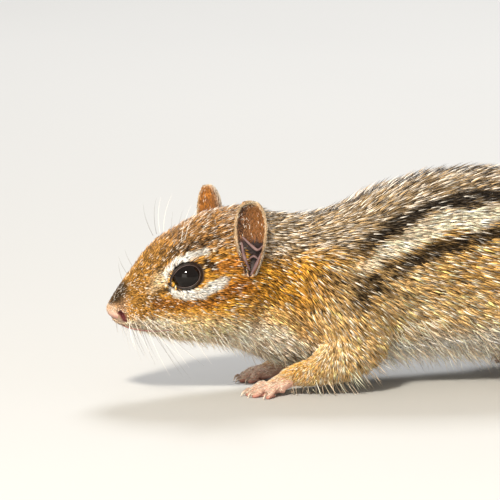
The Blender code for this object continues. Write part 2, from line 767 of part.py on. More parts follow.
def toes(digits, place):
    """Every digit with its claw: knuckle raised, pad on the ground, claw curving down from its end."""
    pieces = []
    for digit in digits:
        angle = math.radians(digit.angle)
        base, way = np.array(digit.base), np.array((math.cos(angle), math.sin(angle)))

        def along(*steps, base=base, way=way):
            return place([(*(base + way * distance), height) for distance, height in steps])

        length, thick = digit.length, DIGIT_THICKNESS
        toe = along((-1.2, 1.9), (length * 0.35, DIGIT_KNUCKLE), (length * 0.78, 1.45), (length, 0.95))
        sizes = ((thick, thick), (thick, thick * 0.95), (thick * 0.95, thick), (thick * 0.85, thick * 0.9))
        pieces.append(sweep("toe", toe, sizes, steps=4, sides=6, domes=1))
        tip = length + CLAW_LENGTH
        claw = along((length + 0.1, 1.5), (length + 0.55 * CLAW_LENGTH, 1.55), (tip, 0.45))
        nail = ((CLAW_THICKNESS, CLAW_THICKNESS), (0.36, 0.4), (0.12, 0.14))
        pieces.append(sweep("claw", claw, nail, steps=3, sides=4, domes=1))
    return pieces


def foot(name, limbs, digits, place, end):
    """One foot, flat under its pads; the first of its limbs is cut where it meets the leg."""
    soles = [sweep("sole", place(limb.path), limb.thickness, steps=5, sides=8, domes=2) for limb in limbs]
    cut_beyond(soles[0], facing_back(end), GAP)
    part = fuse(name, [*soles, *toes(digits, place)])
    cut_beyond(part, GROUND)
    keep_largest(part)
    part.data.materials.append(finish("foot_skin"))


def feet():
    for label, side in SIDES:
        def fore_place(points, side=side):
            return stepped(foot_frame(points, FORE_TURN, WRIST), side, FAR_FORE_STRIDE)

        def hind_place(points, side=side):
            return stepped(foot_frame(points, HIND_TURN, HEEL), side, FAR_HIND_STRIDE)

        fore_end = stepped_plane(WRIST_PLANE, side, FAR_FORE_STRIDE)
        hind_end = stepped_plane(ANKLE, side, FAR_HIND_STRIDE)
        foot("forefoot_" + label, [FORE_PALM], FORE_DIGITS, fore_place, fore_end)
        foot("hindfoot_" + label, [HIND_ANKLE, HIND_SOLE], HIND_DIGITS, hind_place, hind_end)


def tail_size(at):
    """Middle and half thickness of the brush at these shares of its length."""
    return through(at, TAIL_STATIONS, TAIL.path), through(at, TAIL_STATIONS, TAIL.thickness)


def brush_point(at, angle, reach):
    """Points of the brush at a share of its length, an angle round it and a share of its thickness."""
    centres, sizes = tail_size(at)
    ahead, _ = tail_size(np.minimum(at + 0.01, 1.0))
    behind, _ = tail_size(np.maximum(at - 0.01, 0.0))
    along = unit(ahead - behind)
    across = unit(np.cross(along, (0.0, 0.0, 1.0)))
    upright = np.cross(across, along)
    out = across * (sizes[:, :1] * np.cos(angle)) + upright * (sizes[:, 1:] * np.sin(angle))
    return centres + out * reach[:, None], along, unit(out)


def lock(at, angle, length):
    """One flat lock: rooted inside the core, curving out to the outline of the brush and back."""
    u, width, thickness = np.array(LOCK_PROFILE).T
    tail_length = np.linalg.norm(np.diff(np.array(TAIL.path), axis=0), axis=1).sum()
    place = np.minimum(at + u * length / tail_length, 1.0)
    reach = CORE_SHARE * 0.55 + (1.0 - CORE_SHARE * 0.55) * np.sin(u * math.pi / 2) ** 0.85
    centres, _, out = brush_point(place, angle, reach)
    along = unit(np.gradient(centres, axis=0))
    side_way = unit(np.cross(along, out))
    flat_way = np.cross(side_way, along)
    half_width = (LOCK_HALF_WIDTH * width)[:, None] * side_way
    ridge = (LOCK_RIDGE * thickness)[:, None] * flat_way
    centres[:, 2] = np.maximum(centres[:, 2], LOCK_RIDGE * 0.7)
    return tube("lock", np.stack([centres + half_width, centres + ridge, centres - half_width], axis=1))


def brush_from(share, grow):
    """The volume of the brush behind a cone that opens backwards along the lie of the hair."""
    start = share - grow / 95.0
    at = np.concatenate([np.linspace(start, start + 0.13, 5), np.linspace(start + 0.2, 1.0, 7)])
    centres, sizes = tail_size(np.clip(at, 0, 1))
    centres[-1] += unit(centres[-1] - centres[-2]) * 6.0
    slope = np.clip((at - start) / 0.13, 0, 1)[:, None]
    sizes = sizes * (CORE_SHARE * 0.9 + (1.35 - CORE_SHARE * 0.9) * slope) + grow + 1.5 * slope
    return tube("brush", ring_rows(centres, sizes, 16))


def ring_rows(centres, sizes, sides):
    _, across, upright = frames(centres)
    angle = np.arange(sides) / sides * 2 * math.pi
    return (
        centres[:, None]
        + across[:, None] * (sizes[:, :1] * np.cos(angle))[..., None]
        + upright[:, None] * (sizes[:, 1:] * np.sin(angle))[..., None]
    )


def tail():
    """The tail, laid along the ground: a thin core under locks, in three lengths."""
    chance = np.random.default_rng(LOCK_SEED)
    at = np.linspace(0, CORE_END, 9)
    centres, sizes = tail_size(at)
    pieces = [sweep("tail", centres, sizes * CORE_SHARE, steps=18, sides=8, domes=1)]
    for row, share in enumerate(LOCK_ROWS):
        for place in range(LOCKS_ROUND):
            uneven = chance.uniform(-1, 1, 3) * LOCK_UNEVENNESS
            angle = (place + 0.5 * (row % 2) + uneven[0] * 2) / LOCKS_ROUND * 2 * math.pi
            length = through(np.array([share]), np.linspace(0, 1, len(LOCK_LENGTHS)), LOCK_LENGTHS)[0]
            pieces.append(lock(share + uneven[1] * 0.1, angle, length * (1 + uneven[2])))
    brush = fuse("brush", pieces)
    cut_beyond(brush, GROUND)
    cut_beyond(brush, facing_back(TAIL_ROOT), GAP)
    names = ("tail_base", "tail_middle", "tail_tip")
    for name, start, end in zip(names, (None, *TAIL_CUTS), (*TAIL_CUTS, None)):
        part = copy_of(brush, name)
        for share, operation, grow in ((start, "INTERSECT", -GAP / 2), (end, "DIFFERENCE", GAP / 2)):
            if share is not None:
                cutter = brush_from(share, grow)
                boolean(part, cutter, operation)
                discard(cutter)
        keep_largest(part)
        part.data.materials.append(finish("tail_coat"))
    discard(brush)


def centre_on_origin():
    """Hangs every part on one empty, moved so that the origin is under the middle of the model."""
    parts = [obj for obj in bpy.data.objects if obj.type == "MESH"]
    points = np.concatenate([points_of(obj) for obj in parts])
    low, high = points.min(axis=0), points.max(axis=0)
    stand = bpy.data.objects.new("chipmunk", None)
    bpy.context.scene.collection.objects.link(stand)
    stand.location = (-(low[0] + high[0]) / 2 * MM, -(low[1] + high[1]) / 2 * MM, -low[2] * MM)
    for obj in parts:
        obj.parent = stand
        for face in obj.data.polygons:
            face.use_smooth = True


def gather(name):
    """Puts the finished parts in a collection named for the animal."""
    group = bpy.data.collections.new(name)
    bpy.context.scene.collection.children.link(group)
    for obj in list(bpy.context.scene.collection.objects):
        group.objects.link(obj)
        bpy.context.scene.collection.objects.unlink(obj)


def main():
    clear_scene()
    body = fine_body()
    skull = inflated(head(body), "skull", GAP)
    for label, side in SIDES:
        ear(label, side, skull)
    discard(skull)
    eyes()
    neck(body)
    torso(body)
    for label, side in SIDES:
        leg_parts(body, label, side, FORELEG)
        leg_parts(body, label, side, HINDLEG)
    discard(body)
    feet()
    tail()
    centre_on_origin()
    gather("chipmunk")


main()
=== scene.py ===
"""The eastern chipmunk, dressed: skin, coat, eyes, ears, nose, claws and whiskers over its solids.

Shapes are worked out in a plain frame in millimetres: x runs back from the tip of the nose, y to the
animal's right and z up from the ground. `Stance.place` turns the head and sets all of it in the frame
of the solids, in metres.
"""

import logging
import math
from dataclasses import dataclass, field
from enum import Enum
from typing import Callable, NamedTuple

import bmesh
import bpy
import numpy as np
from mathutils import Matrix, Vector


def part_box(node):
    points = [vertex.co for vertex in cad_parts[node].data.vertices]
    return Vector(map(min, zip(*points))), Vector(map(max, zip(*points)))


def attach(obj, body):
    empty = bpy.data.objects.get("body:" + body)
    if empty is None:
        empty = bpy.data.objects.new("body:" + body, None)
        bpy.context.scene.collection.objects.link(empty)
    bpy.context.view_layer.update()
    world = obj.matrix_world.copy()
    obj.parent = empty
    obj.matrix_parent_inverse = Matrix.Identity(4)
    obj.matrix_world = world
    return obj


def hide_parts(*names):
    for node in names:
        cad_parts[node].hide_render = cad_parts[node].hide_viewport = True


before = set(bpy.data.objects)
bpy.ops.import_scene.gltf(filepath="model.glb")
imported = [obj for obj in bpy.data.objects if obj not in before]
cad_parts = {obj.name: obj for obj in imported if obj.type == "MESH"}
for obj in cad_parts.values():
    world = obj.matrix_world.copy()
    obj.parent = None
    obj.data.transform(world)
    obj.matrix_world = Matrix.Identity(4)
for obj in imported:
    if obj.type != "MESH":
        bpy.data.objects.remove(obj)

Array = np.ndarray
Object = bpy.types.Object
Three = tuple[Array, Array, Array]
LOG = logging.getLogger("chipmunk")
MM = 0.001
LEFT, RIGHT = -1, 1
SIDES = (("left", LEFT), ("right", RIGHT))


# Small sums on whole arrays


def unit(vectors: Array) -> Array:
    """Vectors brought to length one."""
    return vectors / np.maximum(np.linalg.norm(vectors, axis=-1, keepdims=True), 1e-9)


def smoothstep(low: float, high: float, value: Array) -> Array:
    """Rises from 0 at low to 1 at high as 3t^2 - 2t^3."""
    t = np.clip((np.asarray(value, float) - low) / (high - low), 0, 1)
    return t * t * (3 - 2 * t)


def through(at: Array, stations: Array, values: Array) -> Array:
    """A smooth curve through values: cubic pieces whose slopes are the central differences.

    Args:
        at: Places to read, between the first and last station.
        stations: Rising places of the values.
        values: One number or one point for each station.

    Returns:
        The curve's value at each place.
    """
    xs, ys = np.asarray(stations, float), np.asarray(values, float)
    slopes = np.gradient(ys, xs, axis=0)
    i = np.clip(np.searchsorted(xs, at, side="right") - 1, 0, len(xs) - 2)
    width = xs[i + 1] - xs[i]
    t = (at - xs[i]) / width
    if ys.ndim > 1:
        t, width = t[:, None], width[:, None]
    rise = t * t * (3 - 2 * t)
    leave = width * t * (1 - t) ** 2
    arrive = width * t * t * (t - 1)
    return ys[i] * (1 - rise) + ys[i + 1] * rise + slopes[i] * leave + slopes[i + 1] * arrive


def soft_noise(points: Array, scale: float, seed: int) -> Array:
    """Random values between -1 and 1 on a lattice, blended smoothly in between.

    Args:
        points: Places in millimetres.
        scale: Size of a lattice cell in millimetres.
        seed: Picks the random values.

    Returns:
        One value for each point.
    """
    cell = np.floor(points / scale).astype(np.int64)
    t = points / scale - cell
    t = t * t * (3 - 2 * t)
    total = np.zeros(len(points))
    for corner in np.ndindex(2, 2, 2):
        step = np.array(corner)
        key = (cell + step) @ np.array((73856093, 19349663, 83492791)) + seed * 2654435761
        key = (key ^ (key >> 13)) * 1274126177 & 0x7FFFFFFF
        key = (key ^ (key >> 11)) * 668265263 & 0x7FFFFFFF
        weight = np.prod(np.where(step, t, 1 - t), axis=1)
        total += weight * (key / 0x3FFFFFFF - 1)
    return total


def distance_to_line(points: Array, line: Array) -> tuple[Array, Array]:
    """How far points lie from a line of straight lengths, and how far along it.

    Args:
        points: Places, in two or three dimensions.
        line: The corners of the line.

    Returns:
        The distance to the nearest length, and the place along the line from 0 to 1.
    """
    line = np.asarray(line, float)
    lengths = np.linalg.norm(np.diff(line, axis=0), axis=1)
    before = np.concatenate([[0], np.cumsum(lengths)])
    best, where = np.full(len(points), np.inf), np.zeros(len(points))
    for i, (start, end) in enumerate(zip(line, line[1:])):
        way = end - start
        t = np.clip((points - start) @ way / (way @ way), 0, 1)
        apart = np.linalg.norm(points - start - t[:, None] * way, axis=1)
        nearer = apart < best
        best = np.where(nearer, apart, best)
        where = np.where(nearer, (before[i] + t * lengths[i]) / before[-1], where)
    return best, where


def paint(red: float, green: float, blue: float) -> Array:
    """A colour given in screen values from 0 to 255, as linear light."""
    screen = np.array((red, green, blue)) / 255
    return np.where(screen <= 0.04045, screen / 12.92, ((screen + 0.055) / 1.055) ** 2.4)


def tone(red: float, green: float, blue: float) -> Array:
    """A dataclass field that holds a colour given in screen values."""
    return field(default_factory=lambda: paint(red, green, blue))


def mix(first: Array, second: Array, share: Array) -> Array:
    """Colours blended by a share for each point."""
    return first * (1 - share[:, None]) + second * share[:, None]


def blend(first: Array, second: Array, share: Array) -> Array:
    """Numbers blended by a share for each point."""
    return first * (1 - share) + second * share


def along_skin(ways: Array, normals: Array, share: float = 1.0) -> Array:
    """Directions of length one, less a share of the part that runs along the normals."""
    return unit(ways - share * normals * np.sum(ways * normals, axis=1, keepdims=True))


def three_noises(points: Array, scale: float, seed: int) -> Array:
    """A vector of soft noise for each point, from three seeds in a row."""
    return np.stack([soft_noise(points, scale, seed + i) for i in range(3)], axis=1)


# How the animal stands


@dataclass(frozen=True)
class Stance:
    """Turns the head a little to the left and sets the plain frame into the frame of the solids."""

    head_turn: float = math.radians(6.0)
    pivot_x: float = 46.0
    full_x: float = 32.0
    nose_x: float = 0.8
    fore_stride: tuple[float, float] = (5.4, -2.2)
    hind_stride: tuple[float, float] = (8.5, -2.0)
    stride_height: float = 30.0

    def turned(self, points: Array) -> Array:
        """Points swung about an upright axis in the neck, by a share that grows towards the head."""
        points = np.array(points, float)
        share = np.clip((self.pivot_x - points[..., 0]) / (self.pivot_x - self.full_x), 0, 1)
        angle = self.head_turn * share * share * (3 - 2 * share)
        forward, aside = points[..., 0] - self.pivot_x, points[..., 1].copy()
        points[..., 0] = self.pivot_x + forward * np.cos(angle) - aside * np.sin(angle)
        points[..., 1] = forward * np.sin(angle) + aside * np.cos(angle)
        return points

    def origin(self) -> Array:
        """Where the plain frame's zero lies in the frame of the solids, in metres."""
        head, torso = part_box("head"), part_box("torso")
        middle = (torso[0].y + torso[1].y) / 2
        return np.array((head[0].x - self.nose_x * MM, middle, 0.0))

    def place(self, points: Array) -> Array:
        """Plain millimetres to metres in the frame of the solids."""
        return self.turned(points) * MM + self.origin()

    def on_side(self, points: Array, side: int) -> Array:
        """Points given by their distance from the middle plane, on one side of it."""
        moved = np.array(points, float)
        moved[..., 1] *= side
        return moved

    def stepped(self, points: Array, side: int, stride: tuple[float, float]) -> Array:
        """Points of a leg; the right leg leans so that its foot is a stride away.

        Args:
            points: Places on the left leg, with y outwards.
            side: LEFT or RIGHT.
            stride: Steps back and outwards.

        Returns:
            The leg's places on its own side.
        """
        moved = np.array(points, float)
        if side == RIGHT:
            share = 1 - np.clip(moved[..., 2] / self.stride_height, 0, 1)
            moved[..., 0] += share * stride[0]
            moved[..., 1] += share * stride[1]
        return self.on_side(moved, side)


STANCE = Stance()


# Meshes out of arrays


def new_object(name: str, points: Array, faces: Array) -> Object:
    """A smoothly shaded mesh object, its faces all of three or all of four corners.

    Args:
        name: The object's name.
        points: Places in metres.
        faces: The corner numbers of each face.

    Returns:
        The object, linked to the scene.
    """
    mesh = bpy.data.meshes.new(name)
    count, corners = faces.shape
    mesh.vertices.add(len(points))
    mesh.vertices.foreach_set("co", np.ascontiguousarray(points, np.float32).ravel())
    mesh.loops.add(count * corners)
    mesh.loops.foreach_set("vertex_index", np.ascontiguousarray(faces, np.int32).ravel())
    mesh.polygons.add(count)
    mesh.polygons.foreach_set("loop_start", np.arange(0, count * corners, corners, dtype=np.int32))
    mesh.polygons.foreach_set("use_smooth", np.full(count, True))
    mesh.update(calc_edges=True)
    obj = bpy.data.objects.new(name, mesh)
    bpy.context.scene.collection.objects.link(obj)
    return obj


def grid_faces(rows: int, columns: int, start: int = 0) -> Array:
    """Quads of a grid whose columns close on themselves."""
    here = start + np.arange(rows * columns).reshape(rows, columns)
    after = np.roll(here, -1, axis=1)
    return np.stack([here[:-1], after[:-1], after[1:], here[1:]], axis=-1).reshape(-1, 4)


def closed_rows(rings: Array) -> tuple[Array, Array]:
    """A closed body of rings: its points and its triangles, with a fan on each end.

    Args:
        rings: Points by ring and by place round the ring.

    Returns:
        Points, with the middles of the two end fans last, and the corner numbers of the triangles.
    """
    count, sides = rings.shape[:2]
    points = np.concatenate([rings.reshape(-1, 3), rings[[0, -1]].mean(axis=1)])
    walls = grid_faces(count, sides)
    here = np.arange(sides)
    after = np.roll(here, -1)
    walls = np.concatenate([walls[:, [0, 1, 2]], walls[:, [0, 2, 3]]])
    first = np.stack([np.full(sides, count * sides), after, here], axis=1)
    far = (count - 1) * sides
    last = np.stack([np.full(sides, count * sides + 1), far + here, far + after], axis=1)
    return points, np.concatenate([walls, first, last])


def path_frames(centres: Array, up: tuple = (0.0, 0.0, 1.0)) -> Three:
    """Along, across and upright directions at each point of a path."""
    along = unit(np.gradient(centres, axis=0))
    across = unit(np.cross(along, np.asarray(up, float)))
    return along, across, np.cross(across, along)


def sweep_rings(path: Array, thickness: Array, steps: int, sides: int, domes: int = 4) -> Array:
    """Rings of a tube of oval section along a smooth path, its ends closed by half rounds.

    A ring is centre + across * a * cos(t) + upright * b * sin(t), where a and b follow the
    thickness; over the domes both shrink as a quarter circle.

    Args:
        path: Points that the middle of the tube passes through.
        thickness: Half thickness across and upright at each of them.
        steps: Rings between the two ends.
        sides: Points round a ring.
        domes: Rings in each rounded end.

    Returns:
        Points by ring and by place round it.
    """
    stations, at = np.linspace(0, 1, len(path)), np.linspace(0, 1, steps)
    centres, radii = through(at, stations, path), through(at, stations, thickness)
    along, across, upright = path_frames(centres)
    bend = np.arange(domes, 0, -1) / (domes + 0.4) * math.pi / 2
    reach = radii.mean(axis=1)
    head = centres[0] - reach[0] * np.sin(bend)[:, None] * along[0]
    tail = centres[-1] + reach[-1] * np.sin(bend[::-1])[:, None] * along[-1]
    head_size, tail_size = radii[0] * np.cos(bend)[:, None], radii[-1] * np.cos(bend[::-1])[:, None]
    centres = np.concatenate([head, centres, tail])
    radii = np.concatenate([head_size, radii, tail_size])
    across = np.concatenate([across[[0] * domes], across, across[[-1] * domes]])
    upright = np.concatenate([upright[[0] * domes], upright, upright[[-1] * domes]])
    angle = np.arange(sides) / sides * 2 * math.pi
    return (
        centres[:, None]
        + across[:, None] * (radii[:, :1] * np.cos(angle))[..., None]
        + upright[:, None] * (radii[:, 1:] * np.sin(angle))[..., None]
    )


def joined(bodies: list) -> tuple[Array, Array]:
    """Several bodies, given by points and faces, as one."""
    starts = np.cumsum([0] + [len(points) for points, _ in bodies])
    faces = [faces + start for (_, faces), start in zip(bodies, starts)]
    return np.concatenate([points for points, _ in bodies]), np.concatenate(faces)


def tube_object(name: str, rings: Array) -> Object:
    """A closed tube in plain millimetres, with its faces turned outwards."""
    points, faces = closed_rows(rings)
    obj = new_object(name, points * MM, faces)
    face_outwards(obj)
    return obj


def face_outwards(obj: Object) -> None:
    """Turns every face of a closed mesh outwards."""
    mesh = bmesh.new()
    mesh.from_mesh(obj.data)
    bmesh.ops.recalc_face_normals(mesh, faces=mesh.faces)
    mesh.to_mesh(obj.data)
    mesh.free()


def points_of(obj: Object) -> Array:
    """The mesh's points, in millimetres."""
    points = np.empty(len(obj.data.vertices) * 3)
    obj.data.vertices.foreach_get("co", points)
    return points.reshape(-1, 3) / MM


def set_points(obj: Object, points: Array) -> None:
    """Moves the mesh's points, given in millimetres."""
    obj.data.vertices.foreach_set("co", (points * MM).ravel())
    obj.data.update()


def normals_of(obj: Object) -> Array:
    """The mesh's point normals."""
    normals = np.empty(len(obj.data.vertices) * 3)
    obj.data.vertices.foreach_get("normal", normals)
    return normals.reshape(-1, 3)


def apply_modifiers(obj: Object) -> None:
    """Makes the modified mesh the object's own."""
    bpy.context.view_layer.update()
    graph = bpy.context.evaluated_depsgraph_get()
    mesh = bpy.data.meshes.new_from_object(obj.evaluated_get(graph))
    obj.modifiers.clear()
    obj.data = mesh


def combine(obj: Object, others: list, operation: str) -> None:
    """Joins other closed meshes to an object, or cuts them from it, and removes them.

    Args:
        obj: The mesh that is kept.
        others: The meshes that go.
        operation: UNION or DIFFERENCE.
    """
    group = bpy.data.collections.new("pieces")
    for other in others:
        group.objects.link(other)
    modifier = obj.modifiers.new(operation.lower(), "BOOLEAN")
    modifier.operation = operation
    modifier.operand_type = "COLLECTION"
    modifier.collection = group
    modifier.solver = "MANIFOLD"
    apply_modifiers(obj)
    for other in others:
        bpy.data.objects.remove(other)
    bpy.data.collections.remove(group)


def softened(obj: Object, rounds: int, group: str = "") -> None:
    """Draws each point halfway to the middle of its neighbours, a number of times.

    Args:
        obj: The mesh.
        rounds: How often.
        group: The points that it holds for, or all of them.
    """
    smooth = obj.modifiers.new("soften", "SMOOTH")
    smooth.factor = 0.5
    smooth.iterations = rounds
    smooth.vertex_group = group
    apply_modifiers(obj)


def evened(obj: Object, voxel: float, rounds: int) -> None:
    """Rebuilds a closed mesh from small even faces, of voxel millimetres, and softens it."""
    remesh = obj.modifiers.new("even", "REMESH")
    remesh.mode = "VOXEL"
    remesh.voxel_size = voxel * MM
    softened(obj, rounds)


def set_colours(obj: Object, name: str, colours: Array) -> None:
    """Stores one linear colour for each point of the mesh."""
    attribute = obj.data.attributes.new(name, "FLOAT_COLOR", "POINT")
    values = np.ones((len(colours), 4), np.float32)
    values[:, :3] = colours
    attribute.data.foreach_set("color", values.ravel())


def dressed(obj: Object, points: Array, colours: Array, finish: "Finishes") -> None:
    """Colours a mesh that was built in the plain frame, and sets it in the frame of the solids.

    Args:
        obj: The mesh.
        points: Where its points are to be, in plain millimetres.
        colours: A colour for each point.
        finish: What it is made of.
    """
    set_colours(obj, "tint", colours)
    set_points(obj, STANCE.place(points) / MM)
    finish.on(obj)
    obj.data.polygons.foreach_set("use_smooth", np.full(len(obj.data.polygons), True))


# The animal's form


class Section(NamedTuple):
    """One cross section of the trunk: place, heights and half width in millimetres."""

    place: str
    x: float
    top: float
    bottom: float
    widest: float
    half_width: float


class Limb(NamedTuple):
    """A path and its half thickness across and upright at each point."""

    path: tuple
    thickness: tuple


class Leg(NamedTuple):
    """One length of a leg on its own side, with the way its hair lies at its two ends."""

    name: str
    side: int
    limb: Limb
    hair: tuple


class Bulge(NamedTuple):
    """A soft bulge or hollow on both sides: centre, reach and push."""

    place: str
    centre: tuple
    reach: float
    push: tuple


@dataclass(frozen=True)
class Form:
    """Sizes of trunk, legs and tail, as in the solids."""

    trunk: tuple = (
        Section("nose tip", 0.5, 22.6, 20.6, 21.4, 1.3),
        Section("nose pad", 1.4, 23.9, 18.9, 21.0, 2.5),
        Section("lip", 4.2, 27.7, 17.0, 20.6, 4.1),
        Section("whisker pads", 7.6, 31.7, 15.9, 21.2, 5.7),
        Section("bridge", 10.8, 35.3, 14.9, 22.6, 7.2),
        Section("front of eyes", 14.0, 37.7, 13.9, 24.2, 8.9),
        Section("brow", 18.0, 39.8, 13.0, 25.2, 10.2),
        Section("cheek", 23.5, 42.3, 12.3, 25.0, 11.6),
        Section("crown", 30.0, 43.8, 11.2, 24.6, 12.3),
        Section("behind ears", 36.0, 43.9, 8.9, 24.0, 12.6),
        Section("nape", 42.0, 42.1, 6.7, 23.6, 13.2),
        Section("withers", 50.0, 41.2, 6.0, 23.4, 15.2),
        Section("shoulder", 58.0, 42.4, 6.2, 23.8, 17.0),
        Section("chest", 67.0, 46.2, 6.6, 25.0, 18.2),
        Section("ribs", 78.0, 49.2, 7.1, 26.4, 19.4),
        Section("loin", 92.0, 50.5, 6.4, 26.4, 20.6),
        Section("flank", 105.0, 48.8, 7.2, 26.4, 20.8),
        Section("hips", 118.0, 43.6, 10.4, 26.0, 18.8),
        Section("rump", 128.0, 36.2, 15.6, 25.0, 13.6),
        Section("tail root", 135.0, 29.6, 17.6, 23.4, 6.8),
        Section("under tail", 141.0, 24.6, 15.8, 20.2, 4.6),
    )
    back_roundness: float = 2.1
    belly_roundness: float = 2.3
    bulges: tuple = (
        Bulge("whisker pad", (6.6, 4.9, 19.4), 2.6, (-0.3, 0.8, 0.0)),
        Bulge("bridge side", (8.4, 4.9, 26.6), 2.6, (0.0, -0.7, -0.2)),
        Bulge("before eye", (11.8, 7.4, 28.6), 2.6, (0.0, -0.7, 0.0)),
        Bulge("brow", (16.4, 7.8, 35.2), 3.4, (0.0, 0.7, 0.5)),
        Bulge("cheek bone", (20.0, 10.8, 24.0), 4.0, (0.0, 0.5, 0.0)),
        Bulge("cheek pouch", (27.0, 12.2, 19.5), 6.0, (0.0, 1.2, -0.4)),
        Bulge("behind jaw", (37.0, 12.0, 20.0), 5.0, (0.0, -0.9, 0.0)),
        Bulge("ear seat", (32.0, 9.6, 33.6), 4.0, (0.0, 0.4, 0.1)),
        Bulge("temple", (24.0, 8.6, 37.0), 4.5, (0.0, -0.5, 0.0)),
        Bulge("shoulder blade", (54.0, 12.5, 33.0), 8.0, (0.0, 1.2, 0.6)),
        Bulge("behind elbow", (74.0, 19.0, 16.0), 7.0, (0.0, -1.4, 0.4)),
        Bulge("waist", (88.0, 20.5, 26.0), 8.0, (0.0, -0.8, 0.0)),
    )
    upper_arm: Limb = Limb(
        ((51.0, 9.5, 27.0), (55.6, 13.5, 20.5), (60.8, 16.2, 13.4)),
        ((8.0, 9.5), (7.0, 8.2), (5.4, 5.8)),
    )
    forearm: Limb = Limb(
        ((60.8, 16.2, 12.6), (55.5, 15.2, 8.7), (49.0, 13.5, 5.8), (42.5, 11.8, 4.3)),
        ((5.4, 5.8), (5.0, 5.4), (3.6, 3.7), (2.4, 2.3)),
    )
    thigh: Limb = Limb(
        ((119.0, 9.5, 30.0), (110.0, 15.0, 26.0), (99.5, 18.6, 18.5)),
        ((11.0, 12.0), (9.0, 10.5), (6.2, 7.0)),
    )
    shank: Limb = Limb(
        ((99.5, 18.6, 17.0), (108.0, 18.5, 13.0), (115.5, 18.2, 9.8), (121.5, 18.0, 6.4)),
        ((6.0, 6.2), (5.2, 5.4), (3.7, 3.7), (2.8, 2.7)),
    )
    tail: Limb = Limb(
        (
            (130.0, 0.0, 25.2), (138.0, 0.2, 21.4), (147.0, 0.9, 15.8), (157.0, 1.4, 10.2),
            (169.0, 1.0, 6.5), (183.0, -1.4, 5.3), (198.0, -5.2, 4.9), (212.0, -8.8, 4.4),
            (222.0, -11.2, 2.7),
        ),
        (
            (7.0, 6.4), (6.9, 6.0), (7.0, 5.6), (7.6, 5.5),
            (8.0, 5.5), (8.0, 5.5), (7.4, 5.1), (5.8, 4.4), (2.6, 2.6),
        ),
    )
    core_share: float = 0.42
    core_end: float = 0.9

    def trunk_sizes(self, x: Array) -> Array:
        """Top, bottom, widest height and half width of the trunk at these places."""
        stations = [s.x for s in self.trunk]
        sizes = [(s.top, s.bottom, s.widest, s.half_width) for s in self.trunk]
        return through(np.clip(x, stations[0], stations[-1]), stations, sizes)

    def trunk_rings(self, rings: int, sides: int) -> Array:
        """Rings of the trunk: half superellipses above and below the widest line.

        A point of a ring has y = w * cos(t)^(2/n) and z = widest + h * sin(t)^(2/n), where h is
        the height of back or belly and n its roundness.

        Args:
            rings: How many.
            sides: Points in each.

        Returns:
            Points by ring and by place round it.
        """
        stations = [s.x for s in self.trunk]
        x = stations[0] + (stations[-1] - stations[0]) * np.linspace(0, 1, rings) ** 1.35
        top, bottom, widest, half_width = self.trunk_sizes(x).T[..., None]
        angle = np.arange(sides) / sides * 2 * math.pi
        cosine, sine = np.cos(angle), np.sin(angle)
        power = np.where(sine > 0, 2 / self.back_roundness, 2 / self.belly_roundness)
        out, rise = np.sign(cosine) * np.abs(cosine) ** power, np.abs(sine) ** power
        y = half_width * out
        z = np.where(sine > 0, widest + (top - widest) * rise, widest - (widest - bottom) * rise)
        return np.stack([np.broadcast_to(x[:, None], y.shape), y, z], axis=-1)

    def pressed(self, points: Array) -> Array:
        """Points with the bulges and hollows: each adds its push times exp(-(d / reach)^2)."""
        for bulge in self.bulges:
            for _, side in SIDES:
                centre = STANCE.on_side(bulge.centre, side)
                push = STANCE.on_side(bulge.push, side)
                apart = np.linalg.norm(points - centre, axis=1) / bulge.reach
                points = points + np.exp(-apart * apart)[:, None] * push
        return points

    def legs(self) -> list[Leg]:
        """Every length of every leg, on its own side."""
        found = []
        lengths = (
            ("upper_arm", self.upper_arm, STANCE.fore_stride, ((0.8, 0.1, -0.6), (0.7, 0.1, -0.7))),
            ("forearm", self.forearm, STANCE.fore_stride, ((0.75, 0.0, -0.65), (-0.75, 0.0, -0.6))),
            ("thigh", self.thigh, STANCE.hind_stride, ((0.85, 0.0, -0.5), (0.75, 0.0, -0.65))),
            ("shank", self.shank, STANCE.hind_stride, ((0.75, 0.0, -0.65), (0.3, 0.0, -0.95))),
        )
        for label, side in SIDES:
            for name, limb, stride, hair in lengths:
                placed = Limb(STANCE.stepped(limb.path, side, stride), limb.thickness)
                found.append(Leg(f"{name}_{label}", side, placed, hair))
        return found

    def tail_at(self, share: Array) -> tuple[Array, Array]:
        """Middle and half thickness of the tail's brush at shares of its length."""
        stations = np.linspace(0, 1, len(self.tail.path))
        share = np.clip(share, 0, 1)
        return through(share, stations, self.tail.path), through(share, stations, self.tail.thickness)


FORM = Form()


class Digit(NamedTuple):
    """A digit in its foot's frame: where it starts, its angle outwards and its length."""

    base: tuple
    angle: float
    length: float


